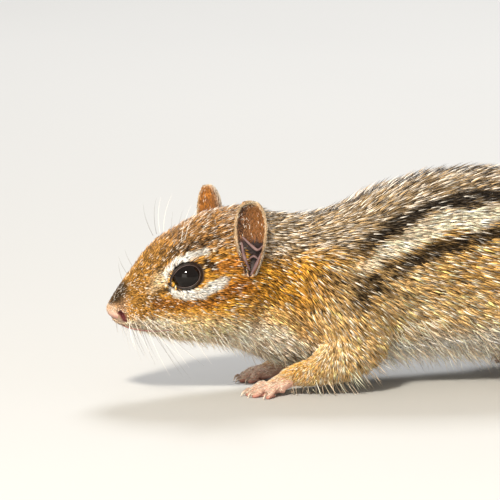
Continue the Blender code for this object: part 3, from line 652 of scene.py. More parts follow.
@dataclass(frozen=True)
class Foot:
    """One foot with its digits; forwards, outwards and up from the wrist or heel."""

    name: str
    side: int
    place: tuple
    turn: float
    stride: tuple
    limbs: tuple
    digits: tuple
    thickness: float = 0.88
    knuckle: float = 2.7
    sunk: float = 0.4
    claw_length: float = 1.8
    claw_thickness: float = 0.33

    def on_ground(self, points: Array) -> Array:
        """Points of the foot's own frame, set on the ground with the toes forward."""
        points = np.array(points, float)
        forward = np.array((-math.cos(self.turn), -math.sin(self.turn), 0.0))
        outward = np.array((-math.sin(self.turn), math.cos(self.turn), 0.0))
        base = np.array((*self.place, -self.sunk))
        lifted = base + points[..., :1] * forward + points[..., 1:2] * outward
        return STANCE.stepped(lifted + points[..., 2:] * (0, 0, 1), self.side, self.stride)

    def along(self, digit: Digit, steps: tuple) -> Array:
        """Points on a digit's line, given by distance and height."""
        angle = math.radians(digit.angle)
        way = np.array((math.cos(angle), math.sin(angle)))
        return self.on_ground([(*(np.array(digit.base) + way * far), up) for far, up in steps])

    def flesh(self) -> Object:
        """Sole and digits as one soft closed mesh in plain millimetres, flat under the pads."""
        pieces = [
            tube_object("sole", sweep_rings(self.on_ground(limb.path), limb.thickness, 12, 20))
            for limb in self.limbs
        ]
        thick = self.thickness
        for digit in self.digits:
            far = digit.length
            steps = ((-1.2, 1.9), (far * 0.35, self.knuckle), (far * 0.78, 1.45), (far, 0.95))
            line = self.along(digit, steps)
            shares = ((1, 1), (1, 0.95), (0.95, 1), (0.85, 0.9))
            sizes = np.array(shares) * thick
            pieces.append(tube_object("digit", sweep_rings(line, sizes, 12, 14)))
            for share, size in ((0.97, 0.62), (0.55, 0.45)):
                pad = self.along(digit, ((far * share - 0.4, 0.78), (far * share + 0.3, 0.74)))
                pieces.append(tube_object("pad", sweep_rings(pad, ((size, size * 0.7),) * 2, 4, 12)))
        foot, others = pieces[0], pieces[1:]
        combine(foot, others, "UNION")
        evened(foot, 0.26, 4)
        points = points_of(foot)
        points[:, 2] = np.maximum(points[:, 2], 0.06)
        set_points(foot, points)
        return foot

    def holds(self, points: Array) -> Array:
        """Share from 0 to 1 of how surely each point lies on this foot."""
        share = np.zeros(len(points))
        for digit in self.digits:
            line = self.along(digit, ((-2.0, 1.6), (digit.length * 0.4, 2.3), (digit.length + 0.3, 1.0)))
            apart, _ = distance_to_line(points, line)
            share = np.maximum(share, 1 - smoothstep(1.3, 1.8, apart))
        for limb in self.limbs:
            path = self.on_ground(limb.path)
            apart, along = distance_to_line(points, path)
            size = np.interp(along, np.linspace(0, 1, len(path)), np.max(limb.thickness, axis=1))
            share = np.maximum(share, 1 - smoothstep(1.15, 1.45, apart / size))
        return share * smoothstep(8.0, 5.0, points[:, 2])

    def claws(self) -> tuple[Array, Array]:
        """Every claw of the foot as rings: an arc that tapers from the digit's end to the ground."""
        bodies, size = [], self.claw_thickness
        for digit in self.digits:
            far, tip = digit.length, digit.length + self.claw_length
            line = self.along(digit, ((far - 0.3, 1.25), (far + 0.5, 1.72), (far + 1.3, 1.35), (tip, 0.5)))
            sizes = ((size * 0.9, size), (size * 0.85, size), (size * 0.55, size * 0.7), (0.05, 0.08))
            bodies.append(closed_rows(sweep_rings(line, sizes, 12, 10, 2)))
        return joined(bodies)


def all_feet() -> list[Foot]:
    """The four feet of the animal."""
    palm = Limb(
        ((-2.0, 0.0, 4.9), (0.6, 0.0, 4.2), (3.6, 0.0, 2.9), (6.4, -0.1, 2.0)),
        ((2.2, 2.1), (2.3, 2.0), (2.8, 1.9), (2.7, 1.5)),
    )
    sole = Limb(
        ((1.2, 0.0, 3.1), (7.0, 0.0, 2.8), (14.5, 0.0, 2.5), (20.8, -0.1, 2.1)),
        ((2.3, 2.6), (2.2, 2.2), (3.0, 2.0), (3.4, 1.6)),
    )
    ankle = Limb(
        ((9.0, 0.1, 10.6), (5.6, 0.1, 7.8), (2.6, 0.0, 4.6)),
        ((3.0, 2.9), (2.7, 2.7), (2.3, 2.5)),
    )
    fore_digits = (
        Digit((5.9, -2.1), -12.0, 4.6),
        Digit((6.3, -0.6), -3.0, 5.3),
        Digit((5.9, 0.9), 8.0, 4.9),
        Digit((3.9, 2.1), 28.0, 4.7),
    )
    hind_digits = (
        Digit((16.8, -2.9), -20.0, 4.6),
        Digit((20.6, -2.3), -8.0, 7.0),
        Digit((21.3, -0.7), -2.0, 7.6),
        Digit((21.0, 0.9), 4.0, 7.3),
        Digit((18.2, 2.4), 13.0, 6.2),
    )
    kinds = (
        ("forefoot", (43.6, 11.9), 6.0, STANCE.fore_stride, (palm,), fore_digits),
        ("hindfoot", (125.0, 18.0), -4.0, STANCE.hind_stride, (ankle, sole), hind_digits),
    )
    return [
        Foot(f"{kind}_{label}", side, spot, math.radians(turn), stride, limbs, digits)
        for label, side in SIDES
        for kind, spot, turn, stride, limbs, digits in kinds
    ]


# Eyes, ears, nose and mouth


@dataclass(frozen=True)
class Eye:
    """A glossy ball under an almond of dark lids."""

    side: int
    centre: tuple = (17.6, 7.4, 29.25)
    axis: tuple = (-0.34, 0.93, 0.13)
    radius: float = 3.7
    opening: tuple = (3.05, 2.45)
    tilt: float = math.radians(20.0)
    corner: float = 0.95

    def frame(self) -> tuple[Array, Array, Array, Array]:
        """Centre, outward axis, and the opening's long and short directions."""
        centre = STANCE.on_side(self.centre, self.side)
        axis = unit(STANCE.on_side(self.axis, self.side))
        back = np.array((math.cos(self.tilt), 0.0, math.sin(self.tilt)))
        long_way = unit(back - axis * (back @ axis))
        return centre, axis, long_way, unit(np.cross(axis, long_way)) * -self.side

    def outline(self, angle: Array, spread: float = 1.0) -> Array:
        """The almond: (-a cos t - c cos^5 t, b sin t), drawn out at the front corner."""
        _, _, long_way, short_way = self.frame()
        along = -np.cos(angle) * self.opening[0] - self.corner * np.clip(np.cos(angle), 0, 1) ** 5
        across = np.sin(angle) * self.opening[1]
        return spread * (along[:, None] * long_way + across[:, None] * short_way)

    def ball(self, rows: int = 40, columns: int = 64) -> tuple[Array, Array]:
        """A sphere about the outward axis, its front raised a little as the cornea."""
        centre, axis, long_way, short_way = self.frame()
        polar = np.linspace(0.04, math.pi - 0.04, rows)[:, None, None]
        angle = (np.arange(columns) / columns * 2 * math.pi)[None, :, None]
        way = (
            axis * np.cos(polar)
            + long_way * np.sin(polar) * np.cos(angle)
            + short_way * np.sin(polar) * np.sin(angle)
        )
        raised = self.radius + 0.16 * np.exp(-((polar / 0.75) ** 2))
        return closed_rows(centre + way * raised)

    def opening_cutter(self) -> Object:
        """A prism on the almond that opens the skin over the eye."""
        centre, axis, _, _ = self.frame()
        angle = np.arange(48) / 48 * 2 * math.pi
        near = centre - axis + self.outline(angle, 1.04)
        far = centre + 9.0 * axis + self.outline(angle, 1.16)
        return tube_object("opening", np.stack([near, far]))

    def lids(self, skin: Object, rows: int = 24, columns: int = 112) -> Three:
        """The rim of both lids: a flat oval section that reaches from the ball to the skin.

        Round the section at angle s, a point lies (1 - cos s) / 2 of the way from the inner edge,
        which rests on the ball, to the outer edge just under the skin, and stands off by 0.22 sin s.

        Args:
            skin: The skin round the eye.
            rows: Points round the section.
            columns: Sections round the eye.

        Returns:
            Points, faces, and how far across the lid each point lies, from 0 inside to 1 outside.
        """
        centre, axis, _, _ = self.frame()
        angle = np.arange(columns) / columns * 2 * math.pi
        flat = self.outline(angle)
        far = np.minimum(np.linalg.norm(flat, axis=1), self.radius * 0.93)
        inner = centre + flat + (np.sqrt(self.radius**2 - far**2) + 0.2)[:, None] * axis
        flat = flat + unit(flat) * 0.8
        bpy.context.view_layer.update()
        outer = []
        for start in centre + flat + axis * 9.0:
            hit, place, _, _ = skin.ray_cast((start * MM).tolist(), (-axis).tolist())
            outer.append(np.array(place) / MM - axis * 0.1 if hit else start - axis * 7.0)
        turn = (np.arange(rows) / rows * 2 * math.pi)[:, None, None]
        across = (1 - np.cos(turn)) / 2
        rings = inner * (1 - across) + np.array(outer) * across + axis * 0.22 * np.sin(turn)
        faces = grid_faces(rows + 1, columns) % (rows * columns)
        return rings.reshape(-1, 3), faces, np.repeat(across.ravel(), columns)


@dataclass(frozen=True)
class Ear:
    """An oval cup that leans outwards and opens forwards and to the side."""

    side: int
    root: tuple = (32.5, 11.6, 29.4)
    tip: tuple = (31.2, 14.0, 46.9)
    half_width: float = 3.85
    facing_angle: float = math.radians(40.0)
    far_facing_angle: float = math.radians(26.0)
    cup: float = 4.2
    thickness: float = 0.6
    folds: tuple = (
        (((-0.8, 0.42, 0.2), (-0.35, 0.34, 0.9), (0.1, 0.4, 1.0), (0.55, 0.5, 0.2)), 0.46),
        (((-0.5, 0.22, 0.7), (-0.1, 0.25, 1.2), (0.3, 0.2, 0.9)), 0.4),
        (((0.62, 0.42, 0.4), (0.55, 0.24, 1.0), (0.2, 0.07, 1.2)), 0.55),
        (((-0.75, 0.3, 0.6), (-0.6, 0.16, 1.1), (-0.2, 0.03, 1.3)), 0.7),
    )

    def directions(self) -> tuple[Array, Array, Array, Array, float]:
        """Root, then up, facing and across directions, and the height."""
        root, tip = STANCE.on_side(self.root, self.side), STANCE.on_side(self.tip, self.side)
        height = float(np.linalg.norm(tip - root))
        up = (tip - root) / height
        turn = self.facing_angle if self.side == LEFT else self.far_facing_angle
        facing = np.array((-math.sin(turn), self.side * math.cos(turn), 0.0))
        facing = unit(facing - up * (facing @ up))
        return root, up, facing, unit(np.cross(up, facing)) * self.side, height

    def surface(self, a: Array, b: Array) -> Array:
        """The middle surface of the cup.

        b runs from 0 at the root to 1 at the tip and a from -1 to 1 across. With b = (1 + sin t) / 2
        the half width follows cos(t)^0.8 times a taper towards the root, and the cup's depth
        follows cos(a * curl).

        Args:
            a: Places across, from -1 to 1.
            b: Places from root to tip, from 0 to 1.

        Returns:
            Places in plain millimetres.
        """
        root, up, facing, across, height = self.directions()
        turn = np.arcsin(np.clip(2 * b - 1, -1, 1))
        half_width = self.half_width * np.maximum(np.cos(turn), 0.01) ** 0.8 * (0.55 + 0.85 * b - 0.28 * b**4)
        curl = math.radians(82) * (1 - 0.3 * b)
        bow = np.sin(a * curl) / np.sin(curl)
        depth = self.cup * np.cos(a * curl) * np.maximum(np.cos(turn), 0) ** 0.7 * (1 - 0.45 * b)
        back = depth - self.cup * 0.5 + 1.4 * b**3
        return (
            root
            + up * (b * height)[..., None]
            + across * (half_width * bow)[..., None]
            - facing * back[..., None]
        )

    def wall(self, a: Array, b: Array, face: Array) -> tuple[Array, Array]:
        """A place on the inner (face 1) or outer (face -1) side of the ear, and its normal.

        The middle surface is pushed along its normal by half the thickness, which grows to a
        rolled rim, and by a shallow wave inside the cup.

        Args:
            a: Places across, from -1 to 1.
            b: Places from root to tip, from 0 to 1.
            face: 1 for the inner and -1 for the outer side.

        Returns:
            Places and normals.
        """
        step = 0.01
        wide = self.surface(np.minimum(a + step, 1), b) - self.surface(np.maximum(a - step, -1), b)
        high = self.surface(a, np.minimum(b + step, 1)) - self.surface(a, np.maximum(b - step, 0))
        normal = unit(np.cross(wide, high)) * self.side
        edge = np.clip(np.maximum(np.abs(a), np.abs(2 * b - 1)), 0, 1)
        thick = self.thickness / 2 * (1 + 0.5 * smoothstep(0.8, 0.96, edge))
        thick = thick * np.sqrt(np.clip(1 - edge**14, 0.02, 1))
        wave = 0.22 * np.sin(a * 4.0 + 1.0) * np.exp(-(((b - 0.35) / 0.25) ** 2))
        return self.surface(a, b) + normal * (face * thick + wave)[..., None], normal * face[..., None]

    def shell(self, rows: int = 56, columns: int = 48) -> Three:
        """A closed wall of the inner and the outer side, joined round the rim.

        Args:
            rows: Points from root to tip.
            columns: Points across.

        Returns:
            Points, faces, and for each point (a, b, side of the wall).
        """
        turn = np.linspace(-math.pi / 2 + 0.05, math.pi / 2 - 0.02, rows)[:, None]
        b = np.broadcast_to(0.5 + 0.5 * np.sin(turn), (rows, columns))
        spread = np.sin(np.linspace(-math.pi / 2, math.pi / 2, columns))
        a = np.broadcast_to(spread[None, :], (rows, columns))
        one = np.ones((rows, columns))
        inner, outer = self.wall(a, b, one)[0], self.wall(a, b, -one)[0]
        points = np.concatenate([inner.reshape(-1, 3), outer.reshape(-1, 3)])
        index = np.arange(rows * columns).reshape(rows, columns)
        quads = np.stack([index[:-1, :-1], index[:-1, 1:], index[1:, 1:], index[1:, :-1]], axis=-1)
        quads = quads.reshape(-1, 4)
        back = quads[:, ::-1] + rows * columns
        rim = np.concatenate([index[0], index[1:, -1], index[-1, -2::-1], index[-2:0:-1, 0]])
        after = np.roll(rim, -1)
        edge_faces = np.stack([after, rim, rim + rows * columns, after + rows * columns], axis=1)
        wall = np.repeat((1.0, -1.0), rows * columns)
        places = np.stack([np.tile(a.ravel(), 2), np.tile(b.ravel(), 2), wall], axis=1)
        return points, np.concatenate([quads, back, edge_faces]), places

    def inner_folds(self) -> tuple[Array, Array]:
        """The naked folds round the ear's opening, as tubes over the inner wall."""
        bodies = []
        _, _, facing, _, _ = self.directions()
        for line, thick in self.folds:
            a, b, off = np.array(line).T
            path = self.surface(a, b) + facing * off[:, None]
            size = thick * np.sin(np.linspace(0.5, math.pi - 0.5, len(line)))
            size = np.stack([size, size * 0.8], axis=1)
            bodies.append(closed_rows(sweep_rings(path, size, 18, 12, 3)))
        return joined(bodies)


@dataclass(frozen=True)
class Muzzle:
    """The naked nose pad, the nostrils and the line of the mouth."""

    pad: Limb = Limb(
        ((3.3, -2.0, 20.1), (2.4, -1.4, 20.8), (1.9, 0.0, 21.2), (2.4, 1.4, 20.8), (3.3, 2.0, 20.1)),
        ((0.9, 1.4), (1.25, 1.7), (1.5, 1.85), (1.25, 1.7), (0.9, 1.4)),
    )
    nostril: Limb = Limb(
        ((2.3, 2.8, 21.0), (2.8, 3.2, 20.4), (3.15, 3.4, 19.4), (3.5, 3.4, 18.5)),
        ((0.28, 0.24), (0.46, 0.4), (0.42, 0.36), (0.24, 0.2)),
    )
    mouth: tuple = (
        (2.9, 0.0, 17.9), (4.2, 2.4, 16.9), (7.2, 4.2, 16.3), (10.4, 5.6, 16.1), (13.4, 6.9, 16.4),
    )

    def nostril_cutters(self) -> list[Object]:
        """A comma-shaped body for each nostril."""
        size = self.nostril.thickness
        paths = [STANCE.on_side(self.nostril.path, side) for _, side in SIDES]
        return [tube_object("nostril", sweep_rings(path, size, 20, 20, 4)) for path in paths]

    def from_nostril(self, points: Array, side: int) -> Array:
        """How far points lie from the middle line of one nostril."""
        return distance_to_line(points, STANCE.on_side(self.nostril.path, side))[0]

    def mouth_line(self, count: int) -> Array:
        """The line of the mouth from the left corner to the right one."""
        half = through(np.linspace(0, 1, count), np.linspace(0, 1, len(self.mouth)), self.mouth)
        return np.concatenate([half[:0:-1] * (1, -1, 1), half])


# Markings


class Stroke(NamedTuple):
    """A stripe on the side of the head: its line in x and z, its half width and its soft edge."""

    line: tuple
    half_width: float
    softness: float


@dataclass(frozen=True)
class Markings:
    """The colours of the coat, and which of them a place on the animal has."""

    tan: Array = tone(206, 150, 68)
    crown: Array = tone(196, 144, 82)
    gold: Array = tone(230, 166, 62)
    amber: Array = tone(222, 134, 40)
    russet: Array = tone(176, 104, 36)
    cream: Array = tone(252, 230, 192)
    white: Array = tone(255, 247, 236)
    black: Array = tone(38, 27, 19)
    grizzle: Array = tone(186, 156, 114)
    ochre: Array = tone(224, 176, 102)
    rufous: Array = tone(196, 116, 54)
    buff: Array = tone(240, 204, 150)
    umber: Array = tone(112, 78, 50)
    cheek: Array = tone(246, 218, 172)
    throat: Array = tone(250, 224, 194)
    lip: Array = tone(246, 224, 196)
    nose: Array = tone(214, 176, 150)
    chest: Array = tone(253, 234, 210)
    stripe: Array = tone(255, 234, 204)
    fringe: Array = tone(248, 224, 194)
    stripe_x: tuple = (50, 58.5, 62, 67, 73, 85, 100, 115, 124)
    stripe_angle: tuple = (71, 64, 59, 54, 49, 46, 43.5, 41, 40)
    before_eye: Stroke = Stroke(((8.6, 27.0), (11.4, 28.8)), 0.9, 1.5)
    above_eye: Stroke = Stroke(
        ((12.7, 28.6), (13.4, 30.2), (15.2, 32.5), (18.2, 34.0), (20.6, 34.6)), 0.55, 0.6
    )
    below_eye: Stroke = Stroke(
        ((13.6, 26.2), (15.4, 25.4), (18.8, 25.5), (21.6, 27.0), (24.0, 28.4)), 0.75, 0.7
    )
    tear_duct: Stroke = Stroke(((11.8, 26.3), (13.4, 27.4)), 0.2, 0.45)
    over_brow: Stroke = Stroke(((11.0, 30.2), (14.0, 34.2), (19.0, 36.2), (24.0, 37.2)), 0.35, 0.8)
    behind_eye: Stroke = Stroke(((20.6, 32.0), (21.8, 31.3)), 0.75, 0.55)
    to_ear: Stroke = Stroke(((22.2, 31.2), (29.0, 32.6)), 0.7, 1.2)
    on_cheek: Stroke = Stroke(
        ((10.0, 23.0), (15.0, 23.4), (20.2, 23.4), (24.0, 25.0), (28.0, 27.6)), 0.7, 1.0
    )
    on_muzzle: Stroke = Stroke(((6.0, 23.6), (9.0, 24.4), (12.8, 26.8)), 0.25, 0.7)
    # Dark spots where the shoulder's hair parts: partly the dark underfur that shows there and partly painted
    # shade in the partings.
    parting_spots_and_shade: tuple = (
        (56.5, 25.4, 1.7, 3.0), (61.0, 28.4, 1.6, 1.4), (64.0, 31.0, 1.8, 1.2), (51.5, 29.0, 1.6, 1.0),
    )

    def weight(self, points: Array, stroke: Stroke) -> Array:
        """How much of a stripe each point has: 1 within its half width, fading over its soft edge."""
        apart, _ = distance_to_line(points[:, [0, 2]], np.array(stroke.line))
        ragged = 0.3 * soft_noise(points, 1.3, 11)
        return 1 - smoothstep(stroke.half_width, stroke.half_width + stroke.softness, apart + ragged)

    def angle_from_back(self, points: Array) -> Array:
        """Degrees from the middle of the back, round the trunk's widest line."""
        widest = FORM.trunk_sizes(points[:, 0])[:, 2]
        return np.degrees(np.arctan2(np.abs(points[:, 1]), points[:, 2] - widest + 1e-6))

    def body(self, points: Array) -> Three:
        """Colour, share of dark hairs and share of pale hairs on neck, trunk and thighs."""
        x = points[:, 0]
        angle = self.angle_from_back(points) + 3.0 * soft_noise(points, 3.0, 3)
        colour = np.tile(self.grizzle, (len(points), 1))
        dark, pale = np.full(len(points), 0.34), np.full(len(points), 0.32)
        flank = smoothstep(42, 60, angle)
        colour = mix(colour, self.ochre, flank)
        dark, pale = blend(dark, 0.2, flank), blend(pale, 0.22, flank)
        neck = (1 - smoothstep(44, 56, x)) * flank
        colour = mix(colour, self.gold, neck)
        dark, pale = dark + 0.16 * neck, pale * (1 - 0.6 * neck)
        rump = smoothstep(98, 126, x) * (1 - smoothstep(88, 114, angle))
        colour = mix(colour, self.rufous, rump * 0.6)
        dark, pale = blend(dark, 0.16, rump), blend(pale, 0.1, rump)
        shoulder = smoothstep(44, 54, x) * (1 - smoothstep(68, 84, x)) * smoothstep(60, 76, angle)
        colour = mix(colour, self.buff, shoulder * 0.45)
        low = smoothstep(84, 112, angle)
        colour = mix(colour, self.buff, low * 0.55)
        dark = dark * (1 - 0.6 * low)
        lower = 13 * (1 - smoothstep(72, 100, x)) * smoothstep(34, 50, x)
        belly = smoothstep(108, 130, angle - lower + 3 * soft_noise(points, 4.0, 5))
        colour = mix(colour, mix(self.white, self.chest, 1 - smoothstep(40, 66, x)), belly)
        dark, pale = dark * (1 - belly), pale * (1 - belly)
        centre = np.interp(x, self.stripe_x, self.stripe_angle)
        ends = smoothstep(53, 61, x) * (1 - smoothstep(110, 121, x))
        light = (1 - smoothstep(4.2, 7.2, np.abs(angle - centre))) * ends
        colour = mix(colour, self.stripe, light)
        dark, pale = dark * (1 - light), pale * (1 - light)
        mottled = smoothstep(-0.75, 0.05, soft_noise(points, 4.2, 7) + smoothstep(66, 92, x))
        ahead = 1 - smoothstep(70, 86, x)
        for offset, width, patchy in ((-13.5, 5.0, 1.0), (13.0 + 3.0 * ahead, 4.6 + 2.4 * ahead, mottled)):
            line = 1 - smoothstep(width * 0.6, width * 1.3, np.abs(angle - centre - offset))
            line = line * ends * patchy
            colour = mix(colour, self.black, line * 0.8)
            dark, pale = dark + 0.5 * line, pale * (1 - line * 0.7)
        middle = (1 - smoothstep(2.4, 4.8, angle)) * smoothstep(40, 54, x) * (1 - smoothstep(112, 126, x))
        colour = mix(colour, self.black, middle * 0.9)
        return colour, dark, pale

    def head(self, points: Array) -> Three:
        """Colour, share of dark hairs and share of pale hairs on the head."""
        x, side_way, z = points[:, 0], np.abs(points[:, 1]), points[:, 2]
        colour = np.tile(self.gold, (len(points), 1))
        dark, pale = np.full(len(points), 0.18), np.full(len(points), 0.09)
        front = 1 - smoothstep(9, 15, x)
        colour = mix(colour, self.tan, front)
        dark = dark + 0.14 * front + 0.18 * smoothstep(26, 30, z) * (1 - smoothstep(16, 24, x))
        top = smoothstep(30.0, 35.0, z + 0.3 * (18 - x))
        crown = smoothstep(7, 17, x) * top
        colour = mix(colour, self.crown, crown)
        dark = dark + 0.16 * crown
        # More pale hairs on the back of the crown: partly its own pale ticking and partly a painted highlight
        # where light falls on the top of the head.
        pale = pale + 0.2 * crown * smoothstep(18, 30, x)
        cheek = smoothstep(22.0, 18.0, z) * smoothstep(5, 13, x)
        colour = mix(colour, self.cheek, cheek * 0.8)
        dark = dark * (1 - 0.4 * cheek)
        warm = np.exp(-(((x - 30) / 5.5) ** 2) - ((z - 27.0) / 3.0) ** 2)
        colour = mix(colour, self.amber, warm * 0.8)
        throat = smoothstep(16.8, 13.4, z - 0.06 * (x - 20))
        colour = mix(colour, self.throat, throat)
        dark, pale = dark * (1 - throat), pale * (1 - throat)
        lip = smoothstep(20.4, 18.6, z) * (1 - smoothstep(11, 16, x))
        colour = mix(colour, self.lip, lip * 0.85)
        dark = dark * (1 - 0.6 * lip)
        beside = smoothstep(3.6, 5.6, side_way)
        before = self.weight(points, self.before_eye) * beside
        colour = mix(colour, self.cream, before * 0.65)
        dark = dark * (1 - 0.5 * before)
        for stroke, colour_there, share, more_dark in (
            (self.over_brow, self.black, 0.3, 0.3), (self.to_ear, self.rufous, 0.55, 0.0),
            (self.behind_eye, self.black, 0.92, 0.0), (self.on_cheek, self.russet, 0.65, 0.22),
            (self.on_muzzle, self.black, 0.5, 0.0),
        ):
            weight = self.weight(points, stroke) * beside
            colour = mix(colour, colour_there, weight * share)
            dark = dark + more_dark * weight
        for stroke in (self.above_eye, self.below_eye):
            weight = self.weight(points, stroke) * beside
            colour = mix(colour, self.white, weight * 0.95)
            dark, pale = dark * (1 - weight), pale * (1 - weight)
        colour = mix(colour, self.black, self.weight(points, self.tear_duct) * beside * 0.85)
        patch = smoothstep(5.2, 3.6, x) * smoothstep(22.2, 23.4, z) * (1 - smoothstep(1.6, 3.6, side_way))
        colour = mix(colour, self.black, patch * 0.9)
        tip = smoothstep(4.6, 2.8, x)
        colour = mix(colour, self.nose, tip * 0.6 * (1 - patch))
        return colour, dark, pale

    def tail(self, share: Array, angle: Array, noise: Array) -> Three:
        """Colour and shares of dark and pale hairs on the tail: rufous below, dark above."""
        under = smoothstep(-0.25, -0.75, np.sin(angle))
        colour = mix(self.umber, self.rufous, under * 0.85)
        start = 1 - smoothstep(0.03, 0.2, share)
        colour = mix(colour, self.rufous, start * 0.7)
        dark = np.full(len(share), 0.42) * (1 - 0.7 * under) + 0.05 * noise
        return colour, dark, 0.2 * (1 - under)

    def limb(self, points: Array, down: Array) -> Three:
        """Colour and shares on a leg: golden buff above, paler below and towards the foot."""
        colour = mix(self.ochre, self.buff, 0.55 * smoothstep(0.2, 0.6, down))
        colour = mix(colour, self.gold, smoothstep(0.7, 0.95, down) * 0.7)
        low = smoothstep(7.0, 3.0, points[:, 2])
        colour = mix(colour, self.cream, low * 0.3)
        return colour, 0.16 * (1 - down), 0.3 - 0.1 * down

    def at(self, points: Array, leg: Array, down: Array) -> Three:
        """The markings of any place on the skin.

        Args:
            points: Places in the plain frame.
            leg: How much each place belongs to a leg, from 0 to 1.
            down: How far down the leg it is, from 0 to 1.

        Returns:
            Colour, share of dark hairs, share of pale hairs.
        """
        head_colour, head_dark, head_pale = self.head(points)
        body_colour, body_dark, body_pale = self.body(points)
        limb_colour, limb_dark, limb_pale = self.limb(points, down)
        back = smoothstep(27.5, 35.0, points[:, 0] - 0.25 * (points[:, 2] - 28))
        colour = mix(head_colour, body_colour, back)
        dark, pale = blend(head_dark, body_dark, back), blend(head_pale, body_pale, back)
        colour = mix(colour, limb_colour, leg)
        dark, pale = blend(dark, limb_dark, leg), blend(pale, limb_pale, leg)
        # Dark underfur and painted shade in the shoulder's hair partings.
        for x, z, long, high in self.parting_spots_and_shade:
            across, up = points[:, 0] - x, points[:, 2] - z
            spot = np.exp(-((across / long) ** 2) - ((up + 0.5 * across) / high) ** 2)
            colour = mix(colour, self.black, 0.55 * spot)
            dark, pale = dark + 0.6 * spot, pale * (1 - spot)
        return colour, dark, pale


MARKINGS = Markings()


@dataclass(frozen=True)
class Tones:
    """Colours of the bare skin, the claws and the finest hair."""

    ear_cup: Array = tone(128, 84, 48)
    # The lower inner cup: the naked lining's own grey-pink, darkened as painted shade, and a near-black
    # painted shadow in its deepest hollow.
    ear_lining: Array = tone(96, 68, 64)
    ear_depth: Array = tone(30, 16, 15)
    # Partly the rim's own paler tone and partly a painted highlight where light catches the rolled rim.
    ear_rim: Array = tone(196, 164, 132)
    fold: Array = tone(134, 106, 104)
    fold_shade: Array = tone(62, 40, 40)
    ear_hair_rear: Array = tone(132, 84, 38)
    # Painted shade: inside the cup the hair darkens towards the front, where the front rim shades it.
    ear_hair_front: Array = tone(58, 36, 24)
    ear_hair_back: Array = tone(170, 108, 44)
    ear_hair_grey: Array = tone(176, 162, 146)
    # Partly the rim hair's own pale tone and partly a painted highlight along the ear's edge.
    ear_hair_rim: Array = tone(214, 190, 152)
    pad: Array = tone(214, 178, 158)
    pad_low: Array = tone(172, 92, 88)
    pad_top: Array = tone(74, 50, 36)
    # Painted shade: the groove down the nose pad is tinted darker than the pad.
    pad_groove_painted_shade: Array = tone(140, 74, 68)
    pad_hair: Array = tone(222, 184, 146)
    pad_hair_top: Array = tone(48, 34, 24)
    # Partly the nostril lining's own dark red and partly painted shade inside the hole.
    nostril: Array = tone(84, 22, 24)
    lid: Array = tone(30, 20, 17)
    # Painted highlight: a pale grey line on the lids' inner edge stands for the shine of the wet rim.
    lid_rim_painted_highlight: Array = tone(112, 92, 86)
    eye_socket: Array = tone(48, 33, 26)
    foot: Array = tone(204, 160, 142)
    foot_pads: Array = tone(176, 118, 104)
    foot_hair: Array = tone(222, 194, 170)
    claw: Array = tone(150, 118, 100)
    claw_tip: Array = tone(222, 204, 184)
    dark_whisker: Array = tone(52, 40, 34)


TONES = Tones()


# Finishes


def new_node(tree: bpy.types.NodeTree, kind: str, **values: float) -> bpy.types.Node:
    """A shader node with the given values on its inputs.

    Args:
        tree: The material's nodes.
        kind: The node's type, without its first words.
        values: Numbers by the name of their input, with underscores for spaces.

    Returns:
        The node.
    """
    node = tree.nodes.new(f"ShaderNode{kind}")
    for name, value in values.items():
        node.inputs[name.replace("_", " ")].default_value = value
    return node


@dataclass(frozen=True)
class Finish:
    """A surface: how its colour is found, and how it shines."""

    name: str
    roughness: float = 0.6
    attribute: str = ""
    colour: tuple = (0.5, 0.5, 0.5)
    variation: float = 0.12
    grain: float = 900.0
    bump: float = 0.15
    specular: float = 0.5
    subsurface: float = 0.0
    depth: float = 0.002
    relief: float = 0.0003

    def material(self) -> bpy.types.Material:
        """A Principled material with fine variation of colour, gloss and relief."""
        material = bpy.data.materials.new(self.name)
        material.use_nodes = True
        tree = material.node_tree
        shader = tree.nodes["Principled BSDF"]
        shader.inputs["Specular IOR Level"].default_value = self.specular
        shader.inputs["Subsurface Weight"].default_value = self.subsurface
        shader.inputs["Subsurface Scale"].default_value = self.depth
        place = tree.nodes.new("ShaderNodeTexCoord")
        noise = new_node(tree, "TexNoise", Scale=self.grain, Detail=3.0)
        tree.links.new(place.outputs["Object"], noise.inputs["Vector"])
        change = new_node(tree, "MapRange", To_Min=1 - self.variation, To_Max=1 + self.variation)
        tree.links.new(noise.outputs["Fac"], change.inputs["Value"])
        scale = tree.nodes.new("ShaderNodeVectorMath")
        scale.operation = "SCALE"
        if self.attribute:
            tree.links.new(self.tinted(tree), scale.inputs[0])
        else:
            scale.inputs[0].default_value = self.colour
        tree.links.new(change.outputs["Result"], scale.inputs["Scale"])
        tree.links.new(scale.outputs["Vector"], shader.inputs["Base Color"])
        gloss = new_node(tree, "MapRange", To_Min=self.roughness * 0.8, To_Max=min(self.roughness * 1.2, 1.0))
        tree.links.new(noise.outputs["Fac"], gloss.inputs["Value"])
        tree.links.new(gloss.outputs["Result"], shader.inputs["Roughness"])
        if self.bump:
            relief = new_node(tree, "Bump", Strength=self.bump, Distance=self.relief)
            tree.links.new(noise.outputs["Fac"], relief.inputs["Height"])
            tree.links.new(relief.outputs["Normal"], shader.inputs["Normal"])
        return material

    def tinted(self, tree: bpy.types.NodeTree) -> bpy.types.NodeSocket:
        """The colour that the mesh carries in the named attribute."""
        source = tree.nodes.new("ShaderNodeAttribute")
        source.attribute_name = self.attribute
        return source.outputs["Color"]


